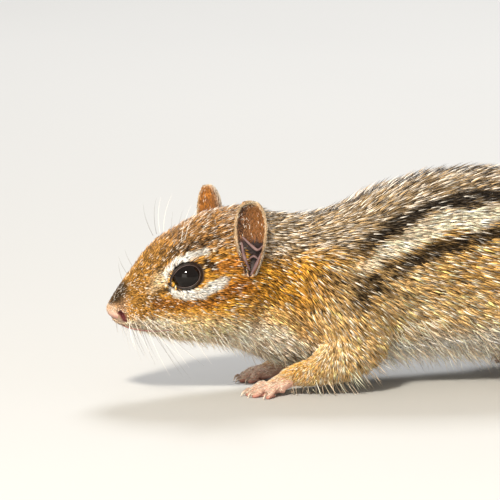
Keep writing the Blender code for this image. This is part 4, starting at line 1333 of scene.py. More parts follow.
@dataclass(frozen=True)
class HairFinish(Finish):
    """Hair that darkens to its root and takes another colour towards its tip."""

    root_light: float = 0.3

    def tinted(self, tree: bpy.types.NodeTree) -> bpy.types.NodeSocket:
        """Hair colour and tip colour blended along the hair, dimmed at the root."""
        place, middle, tip = (tree.nodes.new("ShaderNodeAttribute") for _ in range(3))
        place.attribute_name = "stage"
        middle.attribute_name = self.attribute
        tip.attribute_name = "tip_tint"
        colour = tree.nodes.new("ShaderNodeMix")
        colour.data_type = "RGBA"
        dim = tree.nodes.new("ShaderNodeVectorMath")
        dim.operation = "SCALE"
        for low, high, first, last, socket in (
            (0.56, 0.8, 0.0, 1.0, colour.inputs["Factor"]),
            (0.0, 0.36, self.root_light, 1.0, dim.inputs["Scale"]),
        ):
            span = new_node(tree, "MapRange", From_Min=low, From_Max=high, To_Min=first, To_Max=last)
            span.interpolation_type = "SMOOTHSTEP"
            tree.links.new(place.outputs["Fac"], span.inputs["Value"])
            tree.links.new(span.outputs["Result"], socket)
        tree.links.new(middle.outputs["Color"], colour.inputs[6])
        tree.links.new(tip.outputs["Color"], colour.inputs[7])
        tree.links.new(colour.outputs[2], dim.inputs[0])
        return dim.outputs["Vector"]


class Finishes(Enum):
    """Every finish of the animal and of the stage."""

    COAT = HairFinish("coat_hair", 0.5, "tint", variation=0.08, grain=2400.0, bump=0.0, specular=0.3)
    SKIN = Finish("under_coat", 0.8, "tint", variation=0.18, grain=1800.0, bump=0.5)
    EAR = Finish("ear_lining", 0.6, "tint", variation=0.14, grain=2200.0, bump=0.35, subsurface=0.1)
    LIDS = Finish("eyelid_skin", 0.35, "tint", grain=2600.0, bump=0.3)
    EYE = Finish(
        "eye_gloss", 0.04, colour=tuple(paint(14, 8, 5)), variation=0.3, grain=160.0, bump=0.0, specular=0.3
    )
    NOSE = Finish("nose_skin", 0.5, "tint", variation=0.1, grain=3200.0, bump=0.6, subsurface=0.1)
    LIPS = Finish("lip_skin", 0.5, colour=tuple(paint(132, 84, 76)), grain=2400.0, bump=0.4)
    CLAW = Finish("claw_horn", 0.35, "tint", variation=0.1, grain=1500.0, bump=0.2)
    WHISKER = Finish("whisker_hair", 0.4, "tint", variation=0.05, grain=500.0, bump=0.0)
    FLOOR = Finish("pale_floor", 0.75, colour=(0.46, 0.455, 0.445), variation=0.02, grain=6.0, bump=0.0)

    def on(self, obj: Object) -> None:
        """Puts this finish on an object."""
        material = bpy.data.materials.get(self.value.name) or self.value.material()
        obj.data.materials.clear()
        obj.data.materials.append(material)


# Coat


class Shape(Enum):
    """The rings of a tuft, each as a share of its length and a share of its width."""

    SHORT = ((0.46, 1.0),)
    LONG = ((0.28, 1.0), (0.68, 0.72))


@dataclass
class Tufts:
    """Many tufts at once: roots, directions, sizes and colours, one row for each tuft."""

    root: Array
    normal: Array
    lie: Array
    length: Array
    width: Array
    rise: Array
    colour: Array
    tip_colour: Array
    unwrap: Array

    def chosen(self, keep: Array) -> "Tufts":
        """The tufts for which keep is true."""
        return Tufts(*(getattr(self, name)[keep] for name in self.__dataclass_fields__))

    def __len__(self) -> int:
        """How many tufts there are."""
        return len(self.root)

    def centre_line(self, t: float) -> Array:
        """The middle of each tuft at share t of its length: it rises from the skin and levels out."""
        forward = np.cos(self.rise) * t
        up = np.sin(self.rise) * (t - 0.42 * t * t)
        sunk = 0.5 * self.width * (1 - t)
        return (
            self.root
            + self.lie * (self.length * forward)[:, None]
            + self.normal * (self.length * up - sunk)[:, None]
        )

    def mesh(self, name: str, shape: Shape) -> Object:
        """Every tuft as a closed three-sided lock, pointed at root and tip, joined in one object.

        Rings are triangles in the plane across the lie, between the root's point and the tip's.
        """
        across = unit(np.cross(self.normal, self.lie))
        points, stages = [self.centre_line(0.0)], [0.0]
        for t, share in shape.value:
            middle = self.centre_line(t)
            size = (self.width * 0.5 * share)[:, None]
            points += [middle + across * size, middle + self.normal * size * 0.7, middle - across * size]
            stages += [t] * 3
        points.append(self.centre_line(1.0))
        stages.append(1.0)
        spots = np.stack(points, axis=1)
        spots[..., 2] = np.maximum(spots[..., 2], 0.12)
        rings, per, ahead = len(shape.value), len(points), (1, 2, 0)
        faces = [(0, 1 + ahead[i], 1 + i) for i in range(3)]
        for low in range(1, rings * 3 - 2, 3):
            for i, j in enumerate(ahead):
                faces += [(low + i, low + j, low + 3 + j), (low + i, low + 3 + j, low + 3 + i)]
        last = rings * 3 - 2
        faces += [(last + i, last + ahead[i], per - 1) for i in range(3)]
        walls = (np.array(faces)[None] + (np.arange(len(self)) * per)[:, None, None]).reshape(-1, 3)
        obj = new_object(name, STANCE.place(spots.reshape(-1, 3)), walls)
        set_colours(obj, "tint", np.repeat(self.colour, per, axis=0))
        set_colours(obj, "tip_tint", np.repeat(self.tip_colour, per, axis=0))
        place = obj.data.attributes.new("stage", "FLOAT", "POINT")
        place.data.foreach_set("value", np.tile(np.array(stages, np.float32), len(self)))
        self.set_unwrap(obj, np.array(stages), walls, per)
        return obj

    def set_unwrap(self, obj: Object, stages: Array, walls: Array, per: int) -> None:
        """Lays each tuft as a patch 0.003 across at its root's place on the unwrapped skin."""
        aside = np.array([((i + 2) % 3) * 0.0013 for i in range(per)])
        patch = np.stack([aside, stages * 0.0028], axis=1)
        spots = (self.unwrap[:, None] * 0.996 + patch[None]).reshape(-1, 2)
        layer = obj.data.uv_layers.new(name="OFBake")
        layer.data.foreach_set("uv", spots[walls.ravel()].astype(np.float32).ravel())


@dataclass(frozen=True)
class Coat:
    """Where hair grows on the skin, which way it lies, how long it is and what colour."""

    seed: int = 20
    body_density: float = 7.0
    head_density: float = 21.0
    leg_density: float = 9.5

    def length(self, points: Array, leg: Array, down: Array) -> Array:
        """Hair length in millimetres: shortest on the muzzle and feet, longest on flank and belly."""
        places = (0, 4, 8, 12, 16, 24, 32, 42, 60, 90, 125, 141)
        lengths = (0.7, 0.9, 1.2, 1.5, 1.9, 2.4, 3.0, 3.9, 4.7, 5.0, 5.4, 7.0)
        along = np.interp(points[:, 0], places, lengths)
        low = smoothstep(22, 12, points[:, 2]) * smoothstep(10, 34, points[:, 0])
        along = along * (1 + 0.18 * low)
        legs = 5.0 - 3.4 * smoothstep(0.1, 1.0, down)
        return along * (1 - leg) + legs * leg

    def depth(self, points: Array, leg: Array, down: Array) -> Array:
        """How far the skin lies under the outline of the coat."""
        return 0.1 + 0.22 * self.length(points, leg, down)

    def lie(self, points: Array, normals: Array, leg: Array, leg_way: Array) -> Array:
        """Which way hair lies: back from the nose, round the eyes, back and down on the body.

        On the body the downward share follows the sine of the angle from the back, times a droop
        that is greatest on neck and shoulder.

        Args:
            points: Places in plain millimetres.
            normals: The skin's normals there.
            leg: How much each place belongs to a leg, from 0 to 1.
            leg_way: The way of the hair on that leg.

        Returns:
            Directions along the skin.
        """
        from_nose = unit(points - np.array((-3.0, 0.0, 25.0)))
        angle = np.radians(np.clip(MARKINGS.angle_from_back(points), 0, 180))
        droops = (0.1, 0.3, 0.62, 0.75, 0.42, 0.3, 0.4, 0.2)
        droop = np.interp(points[:, 0], (16, 26, 36, 56, 72, 90, 115, 130), droops)
        body = unit(np.stack([np.ones(len(points)), np.zeros(len(points)), -droop * np.sin(angle)], axis=1))
        back = smoothstep(14, 34, points[:, 0])[:, None]
        way = from_nose * (1 - back) + body * back
        way = way * (1 - leg[:, None]) + leg_way * leg[:, None]
        for _, side in SIDES:
            centre, axis, _, _ = Eye(side).frame()
            away = points - centre
            away = away - (away @ axis)[:, None] * axis
            near = 1 - smoothstep(4.4, 7.5, np.linalg.norm(away, axis=1))
            near = near * (points[:, 1] * side > 2)
            out = unit(away)
            inward = np.minimum(np.sum(way * out, axis=1), 0) * near
            way = way - inward[:, None] * out + 0.25 * near[:, None] * out
        way = unit(way) + 0.16 * three_noises(points, 5.0, 21) + 0.15 * three_noises(points, 1.5, 31)
        return along_skin(way, normals)

    def leg_share(self, points: Array) -> Three:
        """How much each point belongs to a leg, how far down it is and which way hair lies there."""
        share, down = np.zeros(len(points)), np.zeros(len(points))
        way = np.tile((1.0, 0.0, 0.0), (len(points), 1))
        for leg in FORM.legs():
            path = leg.limb.path
            apart, along = distance_to_line(points, path)
            size = np.interp(along, np.linspace(0, 1, len(path)), np.mean(leg.limb.thickness, axis=1))
            near = 1 - smoothstep(1.05, 1.45, apart / size)
            lower = leg.name.startswith(("forearm", "shank"))
            if not lower:
                near = near * smoothstep(0.2, 0.9, along)
            first, last = (STANCE.on_side(way_at, leg.side) for way_at in leg.hair)
            direction = unit(mix(np.tile(first, (len(points), 1)), last, along))
            closer = near > share
            share = np.where(closer, near, share)
            down = np.where(closer, along * 0.5 + 0.5 * lower, down)
            way = np.where(closer[:, None], direction, way)
        return share, down, way

    def bare(self, points: Array) -> Array:
        """True where no hair grows: eyes, nose pad and the line of the mouth."""
        muzzle = Muzzle()
        reach = 1.75 - 0.6 * smoothstep(20.4, 21.6, points[:, 2])
        bare = distance_to_line(points, np.array(muzzle.pad.path))[0] < reach
        for _, side in SIDES:
            eye = Eye(side)
            centre, axis, _, _ = eye.frame()
            away = points - centre
            angle = np.linspace(0, 2 * math.pi, 40)
            flat = away - (away @ axis)[:, None] * axis
            rim = eye.outline(angle, 1.1)
            apart, _ = distance_to_line(flat, rim)
            inside = np.linalg.norm(flat, axis=1) < 3.0
            corner = np.linalg.norm(flat - eye.outline(np.zeros(1), 1.05), axis=1) < 0.75
            bare |= ((apart < 0.3) | inside | corner) & (away @ axis > 0)
            bare |= muzzle.from_nostril(points, side) < 0.55
            root, up, facing, across, _ = Ear(side).directions()
            high, out, ahead = (points - root) @ up, (points - root) @ across, (points - root) @ facing
            bare |= (high > 0) & (high < 10) & (np.abs(out) < 2.2 + 0.12 * high) & (np.abs(ahead - 0.3) < 1.2)
        return bare | (distance_to_line(points, muzzle.mouth_line(12))[0] < 0.35)

    def colours(self, root: Array, markings: tuple, chance: np.random.Generator) -> tuple[Array, Array]:
        """Colour and tip colour of each hair, drawn from the markings' shares.

        A dark hair is black towards its tip; a pale one is nearly white there. Lightness differs
        from hair to hair and in small clumps.

        Args:
            root: The hairs' roots.
            markings: Colour and the shares of dark and of pale hairs there.
            chance: Where the random draws come from.

        Returns:
            The colour of the middle and of the tip.
        """
        colour, dark, pale = markings
        count = len(colour)
        pick = np.clip(chance.random(count) + 0.22 * soft_noise(root, 0.9, 81), 0, 1)
        is_dark, is_pale = (pick < dark)[:, None], (pick > 1 - pale)[:, None]
        light = np.exp(0.24 * chance.standard_normal(count) + 0.3 * soft_noise(root, 1.2, 82))
        colour = colour * np.clip(light, 0.5, 1.6)[:, None]
        frost = np.minimum(colour * 0.4 + MARKINGS.white * 0.7, 0.95)
        black = MARKINGS.black * light[:, None]
        band = np.where(is_dark, colour * 0.45, np.where(is_pale, frost, colour))
        tip = np.where(is_dark, black, np.where(is_pale, frost, colour))
        return np.minimum(band, 0.95), np.minimum(tip, 0.95)

    def roots(self, skin: Object, density: Callable[[Array], Array], seed: int) -> tuple[Array, Array]:
        """Hair roots, spread over the skin's faces.

        The faces' areas times the wanted density are summed up, and evenly spaced shares of the
        sum, each moved by a small random step, pick a face and a place on it.

        Args:
            skin: The surface that the hair grows on.
            density: Gives the wanted roots for each square millimetre at some places.
            seed: The start of the random draws.

        Returns:
            The roots' places and normals.
        """
        chance = np.random.default_rng(seed)
        mesh = skin.data
        mesh.calc_loop_triangles()
        corners = np.empty(len(mesh.loop_triangles) * 3, np.int32)
        mesh.loop_triangles.foreach_get("vertices", corners)
        corners = corners.reshape(-1, 3)
        points, normals = points_of(skin), normals_of(skin)
        a, b, c = (points[corners[:, i]] for i in range(3))
        area = np.linalg.norm(np.cross(b - a, c - a), axis=1) / 2
        weight = np.cumsum(area * density((a + b + c) / 3))
        count = int(weight[-1])
        draws = (np.arange(count) + chance.random(count)) / count * weight[-1]
        face = np.minimum(np.searchsorted(weight, draws), len(corners) - 1)
        u, v = chance.random(count), chance.random(count)
        over = u + v > 1
        u, v = np.where(over, 1 - u, u), np.where(over, 1 - v, v)
        shares = np.stack([1 - u - v, u, v], axis=1)[..., None]
        root = (points[corners[face]] * shares).sum(axis=1)
        normal = unit((normals[corners[face]] * shares).sum(axis=1))
        return root, normal

    def unwrapped(self, root: Array) -> Array:
        """Places on the unwrapped skin: along the body and round it."""
        angle = np.arctan2(root[:, 1], root[:, 2] - FORM.trunk_sizes(root[:, 0])[:, 2])
        return np.stack([np.clip(root[:, 0] / 142, 0, 1), angle / (2 * math.pi) + 0.5], axis=1)

    def density(self, points: Array) -> Array:
        """Tufts for each square millimetre: densest on the face and the lower legs."""
        leg, down, _ = self.leg_share(points)
        x = points[:, 0]
        head = 1 - smoothstep(26, 52, x)
        value = self.body_density * (1 - head) + self.head_density * head
        value = value * (1 + 0.7 * smoothstep(13, 6, x))
        value = value * (1 - 0.4 * smoothstep(14, 8, points[:, 2]) * smoothstep(55, 65, x))
        value = value * (1 - leg) + (self.leg_density + 12 * smoothstep(0.6, 1, down)) * leg
        far = smoothstep(0.0, 4.0, points[:, 1]) * (1 - smoothstep(30, 40, x))
        return value * (1 - 0.25 * far) * (x < 139.5)

    def body_tufts(self, skin: Object) -> Tufts:
        """The short hair of head, trunk and legs."""
        chance = np.random.default_rng(self.seed + 1)
        root, normal = self.roots(skin, self.density, self.seed)
        keep = ~self.bare(root)
        root, normal = root[keep], normal[keep]
        leg, down, leg_way = self.leg_share(root)
        count = len(root)
        length = self.length(root, leg, down) * chance.uniform(0.75, 1.15, count)
        guard = chance.random(count) < 0.08
        length = length * np.where(guard, 1.25, 1.0)
        width = (0.12 + 0.04 * length) * chance.uniform(0.75, 1.3, count)
        rise = np.radians(19 + 13 * chance.random(count) + 6 * soft_noise(root, 2.2, 41) + 10 * guard)
        colour, tip = self.colours(root, MARKINGS.at(root, leg, down), chance)
        lie = self.lie(root, normal, leg, leg_way)
        return Tufts(root, normal, lie, length, width, rise, colour, tip, self.unwrapped(root))

    def fringe_tufts(self, skin: Object) -> Tufts:
        """Long thin pale hairs that hang from jaw, chest, forearms, elbows and belly."""
        chance = np.random.default_rng(self.seed + 4)
        root, normal = self.roots(
            skin, lambda points: 1.5 * (points[:, 0] < 125) * (points[:, 2] < 19), self.seed + 5
        )
        leg, _, leg_way = self.leg_share(root)
        hangs = smoothstep(0.1, -0.55, normal[:, 2]) * (root[:, 0] > 4.5)
        keep = (chance.random(len(root)) < hangs * (1 - 0.8 * leg)) & ~self.bare(root)
        root, normal, leg, leg_way = root[keep], normal[keep], leg[keep], leg_way[keep]
        count = len(root)
        length = np.interp(root[:, 0], (4, 12, 26, 44, 60, 120), (1.6, 2.8, 4.2, 5.8, 6.4, 7.0))
        length = length * chance.uniform(0.8, 1.3, count)
        way = np.tile((0.7, 0.0, -0.7), (count, 1)) + 0.2 * chance.standard_normal((count, 3))
        way = way + leg_way * leg[:, None] * 0.7
        lie = along_skin(way, normal, 0.35)
        side_way = unit(np.cross(lie, (0.0, 1.0, 0.2)))
        upright = unit(normal - lie * np.sum(normal * lie, axis=1, keepdims=True) + 1e-3 * side_way)
        colour, tip = self.colours(root, (np.tile(MARKINGS.fringe, (count, 1)), 0.06, 0.2), chance)
        width = chance.uniform(0.11, 0.18, count)
        rise = np.radians(chance.uniform(4, 16, count))
        return Tufts(root, upright, lie, length, width, rise, colour, tip, self.unwrapped(root))

    def tail_tufts(self, count: int) -> Tufts:
        """The long hair of the tail, in curving tufts that follow its bend."""
        chance = np.random.default_rng(self.seed + 2)
        share = chance.random(count) ** 0.95 * FORM.core_end
        angle = chance.random(count) * 2 * math.pi
        centre, size = FORM.tail_at(share)
        ahead, _ = FORM.tail_at(share + 0.05)
        along = unit(ahead - centre)
        across = unit(np.cross(along, (0.0, 0.0, 1.0)))
        upright = np.cross(across, along)
        oval = size * np.stack([np.cos(angle), np.sin(angle)], axis=1)
        out = across * oval[:, :1] + upright * oval[:, 1:]
        inner = np.where(share > FORM.core_end - 0.1, np.sqrt(chance.random(count)), 1.0)
        root = centre + out * (FORM.core_share * 0.9 * inner)[:, None]
        normal = unit(out)
        noise = soft_noise(root, 2.4, 51)
        length = np.interp(share, (0, 0.12, 0.4, 0.75, 1.0), (8.5, 11.0, 13.0, 13.0, 11.0))
        length = length * chance.uniform(0.7, 1.12, count)
        reach = np.linalg.norm(out, axis=1) * (1 - FORM.core_share)
        rise = np.arcsin(np.clip(reach / (0.58 * length), 0.12, 0.62))
        rise = rise * chance.uniform(0.6, 1.0, count) * inner
        lie = along_skin(along + 0.2 * three_noises(root, 3.5, 61), normal)
        width = chance.uniform(0.26, 0.42, count)
        colour, tip = self.colours(root, MARKINGS.tail(share, angle, noise), chance)
        frosted = (chance.random(count) < 0.5 * np.abs(np.cos(angle)) ** 1.5)[:, None]
        tip = np.where(frosted, MARKINGS.buff * 0.95, tip)
        colour = np.where(frosted, MARKINGS.black * 1.1, colour)
        unwrap = np.stack([share, angle / (2 * math.pi)], axis=1)
        return Tufts(root, normal, lie, length, width, rise, colour, tip, unwrap)

    def ear_tufts(self, ear: Ear, count: int) -> Tufts:
        """Very short hair over both sides of an ear, thinner low in the cup, pale along the rim, darker
        inside towards the front as painted shade.
        """
        chance = np.random.default_rng(self.seed + 3 + ear.side)
        a = np.sin(chance.uniform(-1, 1, count) * math.pi / 2)
        b = 0.5 + 0.5 * np.sin(chance.uniform(-0.85, 1, count) * math.pi / 2)
        face = np.where(chance.random(count) < 0.5, 1.0, -1.0)
        grows = smoothstep(0.36, 0.46, b) + smoothstep(0.7, 0.9, np.abs(a))
        keep = (face < 0) | (chance.random(count) < grows)
        a, b, face = a[keep], b[keep], face[keep]
        count = len(a)
        root, normal = ear.wall(a, b, face)
        up = unit(ear.surface(a, np.minimum(b + 0.02, 1.0)) - ear.surface(a, b - 0.02))
        rim = smoothstep(0.86, 0.98, np.maximum(np.abs(a), 2 * b - 1)) * smoothstep(0.2, 0.5, b)
        length = (1.05 + 0.1 * (face < 0) - 0.45 * rim) * chance.uniform(0.7, 1.2, count)
        # Painted shade: the inner hair darkens towards the front of the cup.
        inside = mix(TONES.ear_hair_rear, TONES.ear_hair_front, smoothstep(-0.2, 0.7, a))
        outside = mix(TONES.ear_hair_back, TONES.ear_hair_grey, smoothstep(0.1, -0.7, a))
        # The pale rim hair is partly its own tone and partly a painted highlight.
        colour = mix(np.where((face > 0)[:, None], inside, outside), TONES.ear_hair_rim, rim * 0.8)
        colour, tip = self.colours(root, (colour, 0.14, 0.02), chance)
        lie = along_skin(unit(up + 0.22 * chance.standard_normal((count, 3))), normal)
        width = chance.uniform(0.13, 0.2, count) * (1 - 0.3 * rim)
        rise = np.radians(chance.uniform(6, 16, count))
        unwrap = np.stack([(a + 1) / 4 + np.where(face > 0, 0.0, 0.5), b], axis=1)
        return Tufts(root, normal, lie, length, width, rise, colour, tip, unwrap)

    def nose_tufts(self, pad: Object) -> Tufts:
        """The finest hair, over the upper side of the nose pad."""
        chance = np.random.default_rng(self.seed + 7)
        root, normal = self.roots(
            pad, lambda points: 60.0 * smoothstep(20.4, 21.4, points[:, 2]), self.seed + 8
        )
        keep = np.min([Muzzle().from_nostril(root, side) for _, side in SIDES], axis=0) > 0.6
        root, normal = root[keep], normal[keep]
        total = len(root)
        way = np.tile((1.0, 0.0, 0.3), (total, 1)) + 0.25 * chance.standard_normal((total, 3))
        lie = along_skin(way, normal)
        colour = mix(TONES.pad_hair, TONES.pad_hair_top, smoothstep(21.9, 22.7, root[:, 2]))
        colour, tip = self.colours(root, (colour, 0.1, 0.2), chance)
        length = chance.uniform(0.4, 0.65, total)
        width = chance.uniform(0.09, 0.13, total)
        rise = np.radians(chance.uniform(10, 26, total))
        unwrap = (root[:, 1:] - (-4.0, 18.0)) / 8.0
        return Tufts(root, normal, lie, length, width, rise, colour, tip, unwrap)

    def foot_tufts(self, foot: Foot, flesh: Object) -> Tufts:
        """Tiny pale hair on the upper side of a foot and its digits."""
        chance = np.random.default_rng(self.seed + 9 + foot.side)
        root, normal = self.roots(flesh, lambda points: np.full(len(points), 13.0), self.seed + 6)
        keep = (normal[:, 2] > -0.2) & (root[:, 2] > 0.8)
        root, normal = root[keep], normal[keep]
        total = len(root)
        length = np.interp(root[:, 2], (1.0, 3.0, 6.0), (0.85, 1.1, 2.0))
        length = chance.uniform(0.8, 1.3, total) * length
        way = np.tile((-1.0, 0.0, -0.12), (total, 1)) + 0.2 * chance.standard_normal((total, 3))
        lie = along_skin(way, normal)
        colour = mix(TONES.foot_hair, MARKINGS.gold, smoothstep(2.6, 5.0, root[:, 2]) * 0.8)
        colour, tip = self.colours(root, (colour, 0.03, 0.35), chance)
        low, top = root.min(axis=0), root.max(axis=0)
        unwrap = (root[:, :2] - low[:2]) / (top[:2] - low[:2])
        width = chance.uniform(0.09, 0.14, total)
        rise = np.radians(chance.uniform(8, 18, total))
        return Tufts(root, normal, lie, length, width, rise, colour, tip, unwrap)


COAT = Coat()


# Pieces


@dataclass(frozen=True)
class Skin:
    """One skin over trunk, legs, feet and the core of the tail."""

    voxel: float = 0.72
    rounds: int = 7
    join_rounds: int = 60
    joins: tuple = (
        ((51.5, 13.5, 13.5), 9.0, STANCE.fore_stride),
        ((57.0, 16.0, 18.0), 12.0, STANCE.fore_stride),
        ((64.0, 16.5, 12.0), 9.0, STANCE.fore_stride),
        ((98.0, 19.0, 19.0), 12.0, STANCE.hind_stride),
        ((116.0, 16.0, 20.0), 13.0, STANCE.hind_stride),
        ((134.0, 0.0, 24.0), 13.0, (0.0, 0.0)),
    )

    def plain(self) -> Object:
        """Trunk and legs fused in plain millimetres, at the outline of the coat."""
        body = tube_object("skin", FORM.trunk_rings(150, 96))
        limbs = [tube_object(leg.name, sweep_rings(*leg.limb, 24, 32)) for leg in FORM.legs()]
        combine(body, limbs, "UNION")
        evened(body, self.voxel, self.rounds)
        self.flow(body)
        set_points(body, FORM.pressed(points_of(body)))
        return body

    def flow(self, body: Object) -> None:
        """Softens the creases where elbows, knees and the tail meet the trunk."""
        points = points_of(body)
        near = np.zeros(len(points))
        for _, side in SIDES:
            for spot, reach, stride in self.joins:
                centre = STANCE.stepped(spot, side, stride)
                apart = np.linalg.norm(points - centre, axis=1) / reach
                near = np.maximum(near, 1 - smoothstep(0.5, 1.0, apart))
        group = body.vertex_groups.new(name="joins")
        for step in range(1, 11):
            chosen = np.nonzero(np.ceil(near * 10) == step)[0]
            group.add(chosen.tolist(), step / 10, "REPLACE")
        softened(body, self.join_rounds, "joins")

    def drawn_in(self, body: Object) -> None:
        """Moves the skin inwards by the depth of the coat."""
        points, normals = points_of(body), normals_of(body)
        leg, down, _ = COAT.leg_share(points)
        set_points(body, points - normals * COAT.depth(points, leg, down)[:, None])
        softened(body, 3)

    def tail_core(self) -> Object:
        """The thin tail under its long hair."""
        at = np.linspace(0, FORM.core_end, 9)
        centres, sizes = FORM.tail_at(at)
        return tube_object("core", sweep_rings(centres, sizes * FORM.core_share, 60, 24))

    def finish(self, body: Object, feet: list, eyes: list) -> None:
        """Joins feet and tail to the skin, opens the eyes, colours it and sets it in place."""
        combine(body, [self.tail_core(), *feet], "UNION")
        muzzle = Muzzle()
        combine(body, [eye.opening_cutter() for eye in eyes] + muzzle.nostril_cutters(), "DIFFERENCE")
        points = points_of(body)
        leg, down, _ = COAT.leg_share(points)
        colour, dark, _ = MARKINGS.at(points, leg, down)
        colour = colour * (0.55 - 0.25 * dark)[:, None]
        foot = np.max([one.holds(points) for one in all_feet()], axis=0)
        pink = mix(TONES.foot, TONES.foot_pads, smoothstep(1.4, 0.2, points[:, 2]))
        colour = mix(colour, pink, foot)
        for eye in eyes:
            centre, axis, along, above = eye.frame()
            away = points - centre
            flat = np.stack([away @ along, away @ above], axis=1)
            near = smoothstep(4.6, 3.9, np.linalg.norm(flat, axis=1)) * (away @ axis > 0)
            colour = mix(colour, TONES.eye_socket, near)
        # The nostrils' walls: their dark red lining with painted shade in the holes.
        for _, side in SIDES:
            apart = muzzle.from_nostril(points, side)
            colour = mix(colour, TONES.nostril, smoothstep(0.85, 0.55, apart))
        dressed(body, points, colour, Finishes.SKIN)


class HairRow(NamedTuple):
    """A row of long hairs: the root and the way of its first hair, and the steps to the next."""

    count: int
    root: tuple
    root_step: tuple
    way: tuple
    way_step: tuple
    spread: float
    length: float
    darkness: float
    darkness_step: float = 0.0


@dataclass(frozen=True)
class Whiskers:
    """Long tapering hairs in rows on the lip, over the eye, on the muzzle and under the cheek."""

    seed: int = 5
    rows: int = 4
    longest: float = 23.0
    lip_thickness: float = 0.052
    other_thickness: float = 0.045
    others: tuple = (
        HairRow(4, (14.6, 6.9, 37.0), (0.9, 0, 0.3), (-0.25, 0.3, 0.95), (0.12, 0, 0), 0.12, 0.42, 0.9, -0.2),
        HairRow(3, (6.5, 4.6, 26.0), (1.6, 0.8, 1.6), (-0.45, 0.45, 0.8), (0, 0, 0), 0.12, 0.3, 0.8),
        HairRow(3, (13.0, 6.6, 15.6), (5.0, 2.0, 0.8), (0.45, 0.35, -0.85), (0, 0, 0), 0.1, 0.36, 0.3),
    )

    def lines(self) -> list[tuple[Array, float, float]]:
        """Middle lines with their root thickness and darkness, for both sides.

        Lip hairs leave outwards and back, and the lower rows hang down.
        """
        chance = np.random.default_rng(self.seed)
        found = []
        for _, side in SIDES:
            for row in range(self.rows):
                for i in range(5):
                    root = np.array((4.4 + 1.25 * i, 3.9 + 0.55 * i, 17.5 + 0.95 * row + 0.08 * i))
                    length = self.longest * (0.3 + 0.115 * i) * (0.72 + 0.12 * row)
                    length = length * chance.uniform(0.75, 1.15)
                    way = np.array((0.02 + 0.07 * i, 0.6, -1.15 + 0.36 * row))
                    way = way + 0.1 * chance.standard_normal(3)
                    line = self.curve(root, unit(way), length, side)
                    found.append((line, self.lip_thickness, chance.random()))
            for group in self.others:
                for i in range(group.count):
                    root = np.array(group.root) + np.array(group.root_step) * i
                    way = np.array(group.way) + np.array(group.way_step) * i
                    way = way + group.spread * chance.standard_normal(3)
                    line = self.curve(root, unit(way), self.longest * group.length, side)
                    found.append((line, self.other_thickness, group.darkness + group.darkness_step * i))
        return found

    def curve(self, root: Array, way: Array, length: float, side: int) -> Array:
        """A line that starts along a direction and bends back and down: root + L (t w + t^2 c)."""
        t = np.linspace(0, 1, 12)[:, None]
        bend = np.array((0.22, -0.05, -0.1))
        return STANCE.on_side(root + length * (t * way + t * t * bend), side)

    def surface(self) -> Three:
        """Points, faces and colours of all whiskers, each a thin tapering tube."""
        bodies, tints = [], []
        for line, thick, darkness in self.lines():
            taper = thick * (1 - np.linspace(0, 1, len(line)) ** 1.4 * 0.85)
            line[:, 2] = np.maximum(line[:, 2], 0.4)
            rings = sweep_rings(line, np.stack([taper, taper], axis=1), 14, 5, 1)
            bodies.append(closed_rows(rings))
            dark = np.full(len(bodies[-1][0]), 0.85 * (darkness > 0.6))
            tints.append(mix(MARKINGS.white, TONES.dark_whisker, dark))
        return *joined(bodies), np.concatenate(tints)


@dataclass(frozen=True)
class Studio:
    """A pale floor, soft light and the camera at the photograph's angle."""

    azimuth: float = math.radians(-16)
    elevation: float = math.radians(9)
    distance: float = 1.6
    width_at_head: float = 0.1175
    aside: float = 0.0336
    above: float = 0.0134

    def floor(self) -> Object:
        """A wide pale floor at the level that the feet stand on."""
        corners = np.array(((-3, -3, 0), (3, -3, 0), (3, 3, 0), (-3, 3, 0)), float)
        floor = new_object("floor", corners, np.array(((0, 1, 2, 3),)))
        Finishes.FLOOR.on(floor)
        return floor

    def camera(self) -> Object:
        """The camera, aimed so that the nose falls where it does in the photograph."""
        a, e = self.azimuth, self.elevation
        back = Vector((math.sin(a) * math.cos(e), -math.cos(a) * math.cos(e), math.sin(e)))
        right = Vector((math.cos(a), math.sin(a), 0))
        up = back.cross(right)
        nose = Vector(STANCE.place(np.array((0.3, 0.0, 21.8))))
        target = nose + right * self.aside + up * self.above
        data = bpy.data.cameras.new("camera")
        data.sensor_width = 36.0
        data.lens = 36.0 * self.distance / self.width_at_head
        data.clip_start, data.clip_end = 0.01, 20.0
        camera = bpy.data.objects.new("camera", data)
        bpy.context.scene.collection.objects.link(camera)
        turn = Matrix((right, up, back)).transposed().to_4x4()
        turn.translation = target + back * self.distance
        camera.matrix_world = turn
        bpy.context.scene.camera = camera
        return camera

    def lamp(self, name: str, place: tuple, size: float, power: float, colour: tuple) -> None:
        """A square soft light that looks at the animal."""
        data = bpy.data.lights.new(name, "AREA")
        data.size, data.energy, data.color = size, power, colour
        lamp = bpy.data.objects.new(name, data)
        bpy.context.scene.collection.objects.link(lamp)
        lamp.location = place
        aim = Vector((-0.03, 0.0, 0.02)) - lamp.location
        lamp.rotation_euler = aim.to_track_quat("-Z", "Y").to_euler()

    def build(self) -> None:
        """Floor, camera, lights and sky."""
        self.floor()
        self.camera()
        self.lamp("key_light", (-0.55, -0.85, 0.85), 0.14, 25.0, (1.0, 0.93, 0.8))
        self.lamp("fill_light", (-0.7, -0.8, 0.12), 0.7, 3.6, (1.0, 0.93, 0.82))
        self.lamp("back_light", (0.3, 0.8, 0.9), 0.4, 11.0, (0.95, 0.97, 1.0))
        world = bpy.data.worlds.new("sky")
        bpy.context.scene.world = world
        world.use_nodes = True
        shader = world.node_tree.nodes["Background"]
        shader.inputs["Color"].default_value = (1.0, 0.985, 0.96, 1.0)
        shader.inputs["Strength"].default_value = 0.5
        bpy.context.scene.view_settings.view_transform = "Standard"


